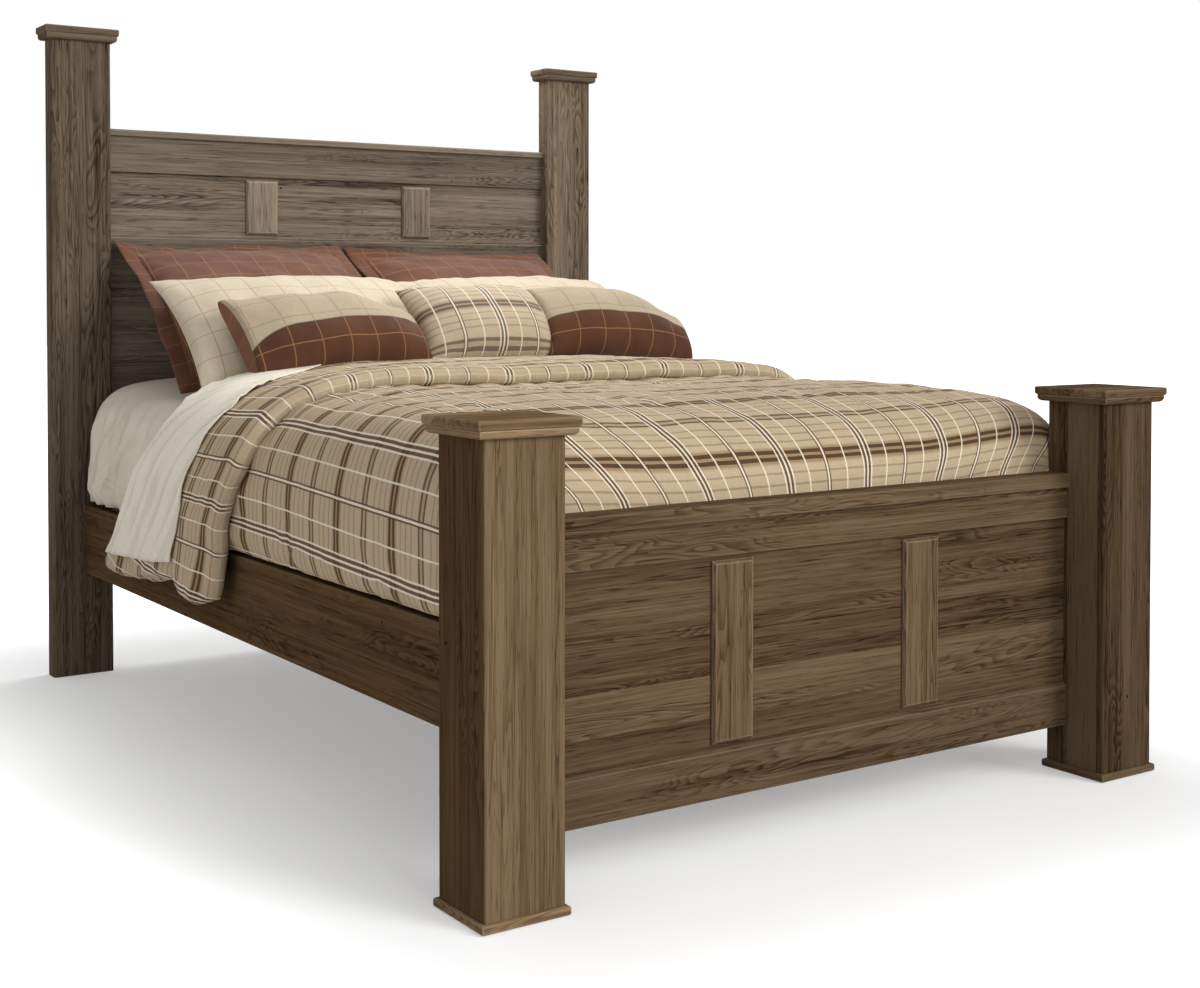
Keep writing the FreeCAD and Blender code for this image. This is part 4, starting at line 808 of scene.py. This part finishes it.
warp = banded(plaid, run_x, WARP, WARP_TONES)
weft = banded(plaid, run_y, WEFT, WEFT_TONES)
near_weft = sums(plaid, "PINGPONG", repeats(plaid, run_y), 0.5)
halo = remap(plaid, near_weft, 0.055, 0.095, 0.75, 0.0)
halo = sums(plaid, "MAXIMUM", halo, remap(plaid, near_weft, 0.43, 0.47, 0.0, 0.4))
ground = tone(188, 167, 138)
for share, colour in ((halo, tone(136, 108, 72)), (sums(plaid, "MULTIPLY", weft, 0.9), tone(66, 42, 24)),
                      (remap(plaid, apart(plaid, warp, 0.5), 0.0, 0.3, 0.88, 0.0), tone(90, 62, 41)),
                      (remap(plaid, warp, 0.7, 0.9, 0.0, 0.8), tone(240, 230, 210))):
    ground = blend(plaid, share, ground, colour)
put(plaid_out, {"Color": ground})


def tartan(tree, flat):
    return add(tree, "Group", {0: flat}, node_tree=plaid).outputs[0]


def quilted(tree, flat):
    hem = remap(tree, mark(tree, "hem"), 0.002, 0.006, 0.3, 0.0)
    return blend(tree, hem, tartan(tree, flat), tone(205, 192, 165))


finished(comforter, fabric("plaid quilt", quilted, relief=0.35, sheen=0.0), "plaid_cloth", "comforter")

# ---- flat sheet
# The top sheet of the same ivory cotton, turned back over the comforter's fold and lying on the band, with
# its corners hanging beside the comforter's. It goes on down under the comforter.
sheet_edge = curve([0, 0.28, 0.42, 0.60, 0.66], [0.77, 0.731, 0.690, 0.647, 0.590, 0.523, 0.468, 0.414],
                   [1.590, 1.570, 1.480, 1.345, 1.292, 1.238, 1.245, 1.257, 1.272, 1.303, 1.327, 1.347,
                    1.368])
SHEET_PLACES = [1.35, 1.363, 1.452, 1.576, 1.70, 1.80]
SHEET_HEIGHTS = [0.435, 0.434, 0.424, 0.415, 0.410, 0.405]
SHEET_FROM, SHEET_TO = 1.80, 1.37
UNDER, OVER, FOLD_ROUND = -0.0135, BAND_LIFT + 0.0245, 0.026
sheet_columns = np.linspace(-1, 1, 181)
s = sheet_columns * at_height(SHEET_HEIGHTS[-1])
sheet_rows = [(s, fold_line(s) - back, UNDER) for back in np.linspace(0.10, 0.0, 7)]
sheet_rows += [(s, fold_line(s) + FOLD_ROUND * math.sin(angle),
                UNDER + (OVER - UNDER) * (1 - math.cos(angle)) / 2)
               for angle in np.linspace(0, math.pi, 9)[1:-1]]
hidden = len(sheet_rows)
for step in np.linspace(0, 1, 44):
    hem = np.interp(SHEET_FROM + (SHEET_TO - SHEET_FROM) * step, SHEET_PLACES, SHEET_HEIGHTS)
    s = sheet_columns * at_height(hem)
    sheet_rows.append((s, fold_line(s) + (sheet_edge(s) - fold_line(s)) * step, OVER))
top_sheet = let_hang(settle(np.array([on_bed(*row) for row in sheet_rows])))
s_sheet = np.array([row[0] for row in sheet_rows])
shown = np.zeros(top_sheet.shape[:2])
shown[hidden:] = 1
run_down = (top_sheet[..., 1] + HEAD_AT) - 0.80 * (np.abs(s_sheet) - 0.7)
sway = 0.25 * np.sin(np.abs(s_sheet) * 9 + 1) + 0.2 * np.sin(run_down * 31)
ridges = 0.5 * np.sin(run_down * math.tau / 0.061 + sway)
ridges += 0.35 * np.sin(run_down * math.tau / 0.036 + 1.3 - sway)
ridges += 0.4 * waves(top_sheet.reshape(-1, 3), 0.12, 44).reshape(ridges.shape)
depth = 0.0045 * smooth(np.abs(s_sheet), 0.5, 0.72) * shown
top_sheet -= face_ways(top_sheet) * ((ridges + 0.9) * depth)[..., None]
sheet_length = np.cumsum(np.linalg.norm(np.diff(top_sheet[:, 0], axis=0, prepend=top_sheet[:1, 0]), axis=1))
flat = np.column_stack([s_sheet.ravel(), np.repeat(sheet_length, s_sheet.shape[1])])
# Painted shade in the hollows between the sheet's ridges.
hollow = 0.5 * smooth(ridges, 0.15, -0.75) * smooth(np.abs(s_sheet), 0.5, 0.72) * shown
flat_sheet = cloth_mesh("flat_sheet_cloth", top_sheet.reshape(-1, 3), grid_faces(*s_sheet.shape), flat,
                        fold=hollow.ravel())
applied(flat_sheet, "SOLIDIFY", thickness=0.0028, offset=0.0)
# The turned-back sheet is the fitted sheet's cotton painted lighter: a painted light.
turned_paint = cloth_with_painted_fold_shade(tone(241, 234, 219), tone(236, 227, 210), PAINTED_FOLD_SHADE)
turned_cotton_painted_lighter = fabric("ivory cotton turned back", turned_paint, relief=0.15, sheen=0.1)
finished(flat_sheet, turned_cotton_painted_lighter, "ivory_sheet", "flat_sheet")

# ---- brown shams
# Two flanged shams in brown cloth with a thin tan windowpane check. They stand on the fitted sheet and lean
# back on the headboard; the flat flange round each is wavy and stands up at its top corners.
def flange(piece, loop, width, seed):
    """A flat border of doubled cloth, sewn round the cover's seam."""
    x, z = loop[:, 0], loop[:, 2]
    half_x, half_z = np.abs(x).max(), np.abs(z).max()
    corner_x = smooth(np.abs(x) / half_x, 0.55, 1.0) * np.sign(x)
    corner_z = smooth(np.abs(z) / half_z, 0.55, 1.0) * np.sign(z)
    on_side = np.abs(x) / half_x > np.abs(z) / half_z
    way = np.column_stack([np.where(on_side, np.sign(x), corner_x), 0 * x,
                           np.where(on_side, corner_z, np.sign(z))])
    grid = []
    ripple = waves(loop, 0.11, seed) + 0.7 * waves(loop, 0.24, seed + 1)
    ears = smooth(z / half_z, 0.4, 0.9) * (0.004 * ripple + 0.02 * np.abs(corner_x) ** 3)
    for share in (-0.25, 0.0, 0.35, 0.7, 1.0):
        ring = loop + way * width * share
        ring[:, 1] += max(share, 0) * 0.008 * ripple
        ring[:, 2] += max(share, 0) * ears
        grid.append(ring)
    grid = np.array(grid)
    rings, count = grid.shape[:2]
    at = np.arange(rings * count).reshape(rings, count)
    after = np.roll(at, -1, axis=1)
    faces = np.stack([at[:-1], after[:-1], after[1:], at[1:]], -1).reshape(-1, 4).tolist()
    border = cloth_mesh(piece.name + "_flange", grid.reshape(-1, 3), faces, grid.reshape(-1, 3)[:, [0, 2]])
    applied(border, "SOLIDIFY", thickness=0.005, offset=0.0)
    picked(piece)
    border.select_set(True)
    bpy.ops.object.join()


def cushion(name, width, height, depth, seed, gusset=0.0, way=1, front_share=0.6, taper=0.0, border=0.0):
    """A filled cover: two rectangles of cloth sewn together round their edges, with a gusset between them
    at each end and a flange round them if these have a width. Its edges draw in between the corners, the
    cloth gathers at the seam, and taper lets the right end slump."""
    cell, pinch, sag = 0.011, 0.04, 0.16
    count_x, count_z = round(width / cell), round(height / cell)
    u = np.sin(np.linspace(-1, 1, count_x + 1) * math.pi / 2)[None, :] * np.ones((count_z + 1, 1))
    v = np.sin(np.linspace(-1, 1, count_z + 1) * math.pi / 2)[:, None] * np.ones((1, count_x + 1))
    x = width / 2 * u * (1 - pinch * (1 - v ** 2) * u ** 2)
    z = height / 2 * v * (1 - pinch * (1 - u ** 2) * v ** 2)
    z += 0.006 * np.sin(u * 3.1 + seed) * smooth(v, 0, 1)
    z -= taper * height * smooth(u, 0.15, 1.05) * (v + 1) / 2
    full = np.sqrt(np.clip((1 - np.abs(u) ** 2.5) * (1 - np.abs(v) ** 2.5), 0, 1)) * (1 - sag * v)
    ends = np.abs(u) ** 10 * np.sqrt(np.clip(1 - v ** 2, 0, 1)) * gusset / 2
    inside = np.minimum((1 - np.abs(u)) * width, (1 - np.abs(v)) * height) / 2
    grids = []
    for sign, share in ((-1, front_share), (1, 1 - front_share)):
        flat_points = np.column_stack([x.ravel(), z.ravel(), np.full(x.size, 0.3 * sign)])
        gather = waves(flat_points, 0.045, seed + sign).reshape(x.shape) * np.exp(-inside / 0.03) * 0.0032
        wrinkles = 0.0026 * waves(flat_points, 0.11, seed + 9 + sign)
        wrinkles += 0.0012 * waves(flat_points, 0.05, seed + 4)
        gather += wrinkles.reshape(x.shape)
        y = sign * (full * depth * share + ends + gather * smooth(inside, 0.0, 0.012))
        grids.append(np.stack([x, y, z], -1))
    front = np.arange(x.size).reshape(x.shape)
    rear = front + x.size
    faces = grid_faces(*x.shape)
    faces += [[k + x.size for k in reversed(four)] for four in faces]
    points = np.concatenate([grid.reshape(-1, 3) for grid in grids])
    marks = {}
    if gusset:
        marks["behind"] = np.concatenate([np.abs(u.ravel()) > 0.9999, np.ones(x.size)])
        for column, turn in ((0, 1), (-1, -1)):
            strip = [front[:-1, column], front[1:, column], rear[1:, column], rear[:-1, column]][::turn]
            faces += np.stack(strip, -1).tolist()
    uvs = np.column_stack([way * points[:, 0], points[:, 2]])
    piece = cloth_mesh(name, points, faces, uvs, **marks)
    picked(piece)
    bpy.ops.object.mode_set(mode="EDIT")
    bpy.ops.mesh.select_all(action="SELECT")
    bpy.ops.mesh.remove_doubles(threshold=0.0002)
    bpy.ops.mesh.normals_make_consistent(inside=False)
    bpy.ops.object.mode_set(mode="OBJECT")
    if border:
        flange(piece, points[rim_of(front)], border, seed + 3)
    applied(piece, "SUBSURF", levels=1, render_levels=1)
    return piece


def stood(piece, middle, front, low, leans, spin=0.0, droop=0.0):
    """Leans a pillow back, more at its top than at its foot, and stands it on the bed: the place across the
    bed of its middle, the place along the bed of its front and the height of its lowest edge."""
    piece.data.transform(Matrix.Rotation(spin, 4, "Y"))
    points = points_of(piece)
    least, tall = points[:, 2].min(), np.ptp(points[:, 2])
    share = (points[:, 2] - least) / tall
    count = 60
    steps = np.linspace(0, 1, count)
    turns = np.radians(leans[0] + (leans[1] - leans[0]) * steps)
    line_y, line_z = (np.cumsum(part(turns)) * tall / count for part in (np.sin, np.cos))
    turn = np.interp(share, steps, turns)
    moved = np.column_stack([points[:, 0], np.interp(share, steps, line_y) + points[:, 1] * np.cos(turn),
                             np.interp(share, steps, line_z) - points[:, 1] * np.sin(turn)])
    moved[:, 0] += middle - (moved[:, 0].max() + moved[:, 0].min()) / 2
    moved[:, 1] += front - HEAD_AT - moved[:, 1].min()
    moved[:, 2] += low - moved[:, 2].min()
    moved[:, 2] -= droop * smooth(np.abs(moved[:, 0]), 0.52, 0.78) * smooth(share, 0.9, 0.1)
    piece.data.vertices.foreach_set("co", moved.ravel())
    piece.data.update()


panes, panes_in, panes_out = group("windowpane", {"Cloth": "v", "Pitch": "f"}, {"Line": "f"})
lines = []
for run in parts(panes, panes_in.outputs[0])[:2]:
    pane = sums(panes, "DIVIDE", run, panes_in.outputs[1])
    turned = sums(panes, "FRACT", sums(panes, "ADD", pane, REPEATS_OFF + 0.5))
    lines.append(remap(panes, apart(panes, turned, 0.5), 0.012, 0.022, 1.0, 0.0))
put(panes_out, {"Line": sums(panes, "MAXIMUM", *lines)})


def checked(colour, line, pitch, strength):
    def paint(tree, flat):
        check = add(tree, "Group", {0: flat, 1: pitch}, node_tree=panes)
        ground = blend(tree, remap(tree, noise(tree, flat, 7.0, 3.0), 0.3, 0.7, 0.0, 0.12), colour, line)
        return blend(tree, sums(tree, "MULTIPLY", check.outputs[0], strength), ground, line)
    return paint


TAN = tone(158, 114, 74)
brown_check = checked(tone(88, 49, 31), TAN, pitch=0.074, strength=0.5)
brown_cloth = fabric("brown windowpane", brown_check, sheen=0.18)
for side, seed, middle in (("left", 101, -0.363), ("right", 140, 0.35)):
    sham = cushion(f"brown_sham_{side}_cover", width=0.622, height=0.565, depth=0.115, seed=seed,
                   front_share=0.5, border=0.040)
    stood(sham, middle, front=1.725, low=0.808, leans=(46, 62), droop=0.022)
    finished(sham, brown_cloth, "brown_cloth", f"brown_sham_{side}")

# ---- cream shams
# Two oblong pillows in cream cotton with a fine brown windowpane check, knife-edged. They stand on the
# fitted sheet and lean on the brown shams.
THREAD, PANE = tone(130, 96, 66), 0.078
cream_cloth = fabric("cream windowpane", checked(tone(202, 188, 164), THREAD, PANE, 0.5), sheen=0.1)
for side, seed, middle in (("left", 201, -0.335), ("right", 233, 0.37)):
    sham = cushion(f"cream_sham_{side}_cover", width=0.75, height=0.46, depth=0.125, seed=seed,
                   front_share=0.62)
    stood(sham, middle, front=1.585, low=0.822, leans=(46, 64), droop=0.014)
    finished(sham, cream_cloth, "cream_cloth", f"cream_sham_{side}")

# ---- plaid pillow
# One pillow in the comforter's plaid, knife-edged, in the middle in front of the cream shams. It stands on
# the turned-back band.
# The comforter's plaid, blended a little towards a pale grey.
def paler_tartan(tree, flat):
    return blend(tree, 0.12, tartan(tree, flat), tone(196, 190, 180))


pillow = cushion("plaid_pillow_cover", width=0.43, height=0.275, depth=0.13, seed=301)
stood(pillow, middle=0.105, front=1.49, low=0.866, leans=(38, 54))
finished(pillow, fabric("plaid pillow cloth", paler_tartan, sheen=0.08), "plaid_cloth", "plaid_pillow")

# ---- accent pillows
# Two oblong boxed pillows, cream above and brown below a curved seam, with brown backs. They lean on the
# cream shams, one at each side of the plaid pillow, and stand on the turned-back band.
def two_tone(tree, flat):
    x, z, _ = parts(tree, flat)
    aside = apart(tree, x, 0.03)
    seam = sums(tree, "MULTIPLY_ADD", sums(tree, "POWER", aside, 6.0), -80.0, -0.024)
    above = sums(tree, "SUBTRACT", z, seam)
    upper = remap(tree, above, -0.001, 0.001)
    stitch = remap(tree, sums(tree, "ABSOLUTE", above), 0.001, 0.004, 0.5, 0.0)
    behind = remap(tree, mark(tree, "behind"), 0.7, 0.85)
    # The cream above the seam is the shams' cream cloth painted darker: a painted shade.
    colour = blend(tree, upper, checked(tone(76, 44, 28), TAN, PANE, 0.7)(tree, flat),
                   checked(tone(178, 163, 138), THREAD, PANE, 0.5)(tree, flat))
    colour = blend(tree, stitch, colour, tone(60, 38, 26))
    return blend(tree, behind, colour, checked(tone(112, 72, 46), TAN, PANE, 0.6)(tree, flat))


accent_cloth = fabric("two-tone accent", two_tone, sheen=0.08)
ACCENTS = (("left", 401, 1, 0.505, 0.28, -0.375, 0.826, -0.085),
           ("right", 437, -1, 0.475, 0.255, 0.50, 0.846, 0.08))
for side, seed, way, width, height, middle, low, spin in ACCENTS:
    pillow = cushion(f"accent_pillow_{side}_cover", width, height, depth=0.15, seed=seed, gusset=0.06,
                     way=way, front_share=0.58, taper=0.36)
    stood(pillow, middle, front=1.45, low=low, leans=(36, 52), spin=spin)
    finished(pillow, accent_cloth, "two_tone_cloth", f"accent_pillow_{side}")

# ---- floor, light and camera
# A pale studio floor that keeps a soft shadow under the bed, with a painted shadow as well where the white
# light it gives off is dimmer near the bed; a white surround, one large soft lamp from the front right, one
# above the head end, a small one in front of the footboard and a weak one at the left.
def seen_straight(tree):
    """1 for a ray from the camera, straight or by a mirror or glass, and 0 for one that gathers light."""
    rays = add(tree, "LightPath")
    return sums(tree, "MAXIMUM", rays.outputs["Is Camera Ray"],
                sums(tree, "MAXIMUM", rays.outputs["Is Glossy Ray"], rays.outputs["Is Transmission Ray"]))


bpy.ops.object.select_all(action="DESELECT")
bpy.ops.mesh.primitive_plane_add(size=60, location=(0, 0, -0.0004))
floor = bpy.context.object
floor.name = "studio_floor"
paper, tree, shader = started("studio paper")
# The floor's painted shadow: its half size across and along the bed.
PAINTED_SHADOW_HALF_SIZE = (0.76, 1.20)  # half the size, across and along the bed, of what lies in its shade
place = add(tree, "TexCoord").outputs["Object"]
beyond = [sums(tree, "MAXIMUM", sums(tree, "SUBTRACT", sums(tree, "ABSOLUTE", part), half), 0.0)
          for part, half in zip(parts(tree, place), PAINTED_SHADOW_HALF_SIZE)]
away = sums(tree, "SQRT", sums(tree, "ADD", *[sums(tree, "POWER", part, 2.0) for part in beyond]))
# Painted shadow: the white emission seen from the camera is dimmer near the bed.
camera_glow_painted_shadow = remap(tree, away, 0.05, 1.15, 0.27, 1.0)
lit = sums(tree, "MULTIPLY", seen_straight(tree), camera_glow_painted_shadow)
speck = ramp(tree, noise(tree, place, 3.0, 2.0), [(0.3, tone(236, 236, 236)), (0.7, tone(240, 240, 240))])
put(shader, {"Base Color": speck,
             "Roughness": 1.0, "Specular IOR Level": 0.0, "Emission Strength": 1.0,
             "Emission Color": add(tree, "CombineColor", {0: lit, 1: lit, 2: lit}).outputs[0]})
floor.data.materials.append(paper)

world = bpy.data.worlds.new("studio")
bpy.context.scene.world = world
world.use_nodes = True
tree = world.node_tree
strength = remap(tree, seen_straight(tree), 0.0, 1.0, 0.47, 1.0)
put(tree.nodes["Background"], {"Color": (1, 1, 1, 1), "Strength": strength})

key = bpy.data.lights.new("key", "SUN")
key.energy, key.angle = 1.76, math.radians(28)
placed("key", key).rotation_euler = Vector((0.45, -0.80, 0.40)).to_track_quat("Z", "Y").to_euler()
LAMPS = (("head", 28, 1.2, (0.3, 1.2, 2.4), (0, 1.0, 1.0)),
         ("front", 12, 1.2, (-0.55, -2.7, 1.7), (-0.3, -1.0, 0.5)),
         ("left", 5.5, 2.0, (-3.5, -0.3, 1.1), (0, 0.0, 0.6)))
for word, energy, size, place, target in LAMPS:
    lamp = bpy.data.lights.new(word, "AREA")
    lamp.energy, lamp.size = energy, size
    lamp_piece = placed(word, lamp)
    lamp_piece.location = place
    lamp_piece.rotation_euler = (Vector(place) - Vector(target)).to_track_quat("Z", "Y").to_euler()

lens = bpy.data.cameras.new("camera")
lens.lens, lens.sensor_width, lens.shift_x, lens.shift_y = 50.15, 36, 0.0338, -0.1373
camera = placed("camera", lens)
camera.location = (-2.2568, -3.4701, 1.0519)
camera.rotation_euler = (math.radians(88.77), 0, math.radians(-33.6))
bpy.context.scene.camera = camera
bpy.context.scene.view_settings.view_transform = "Standard"
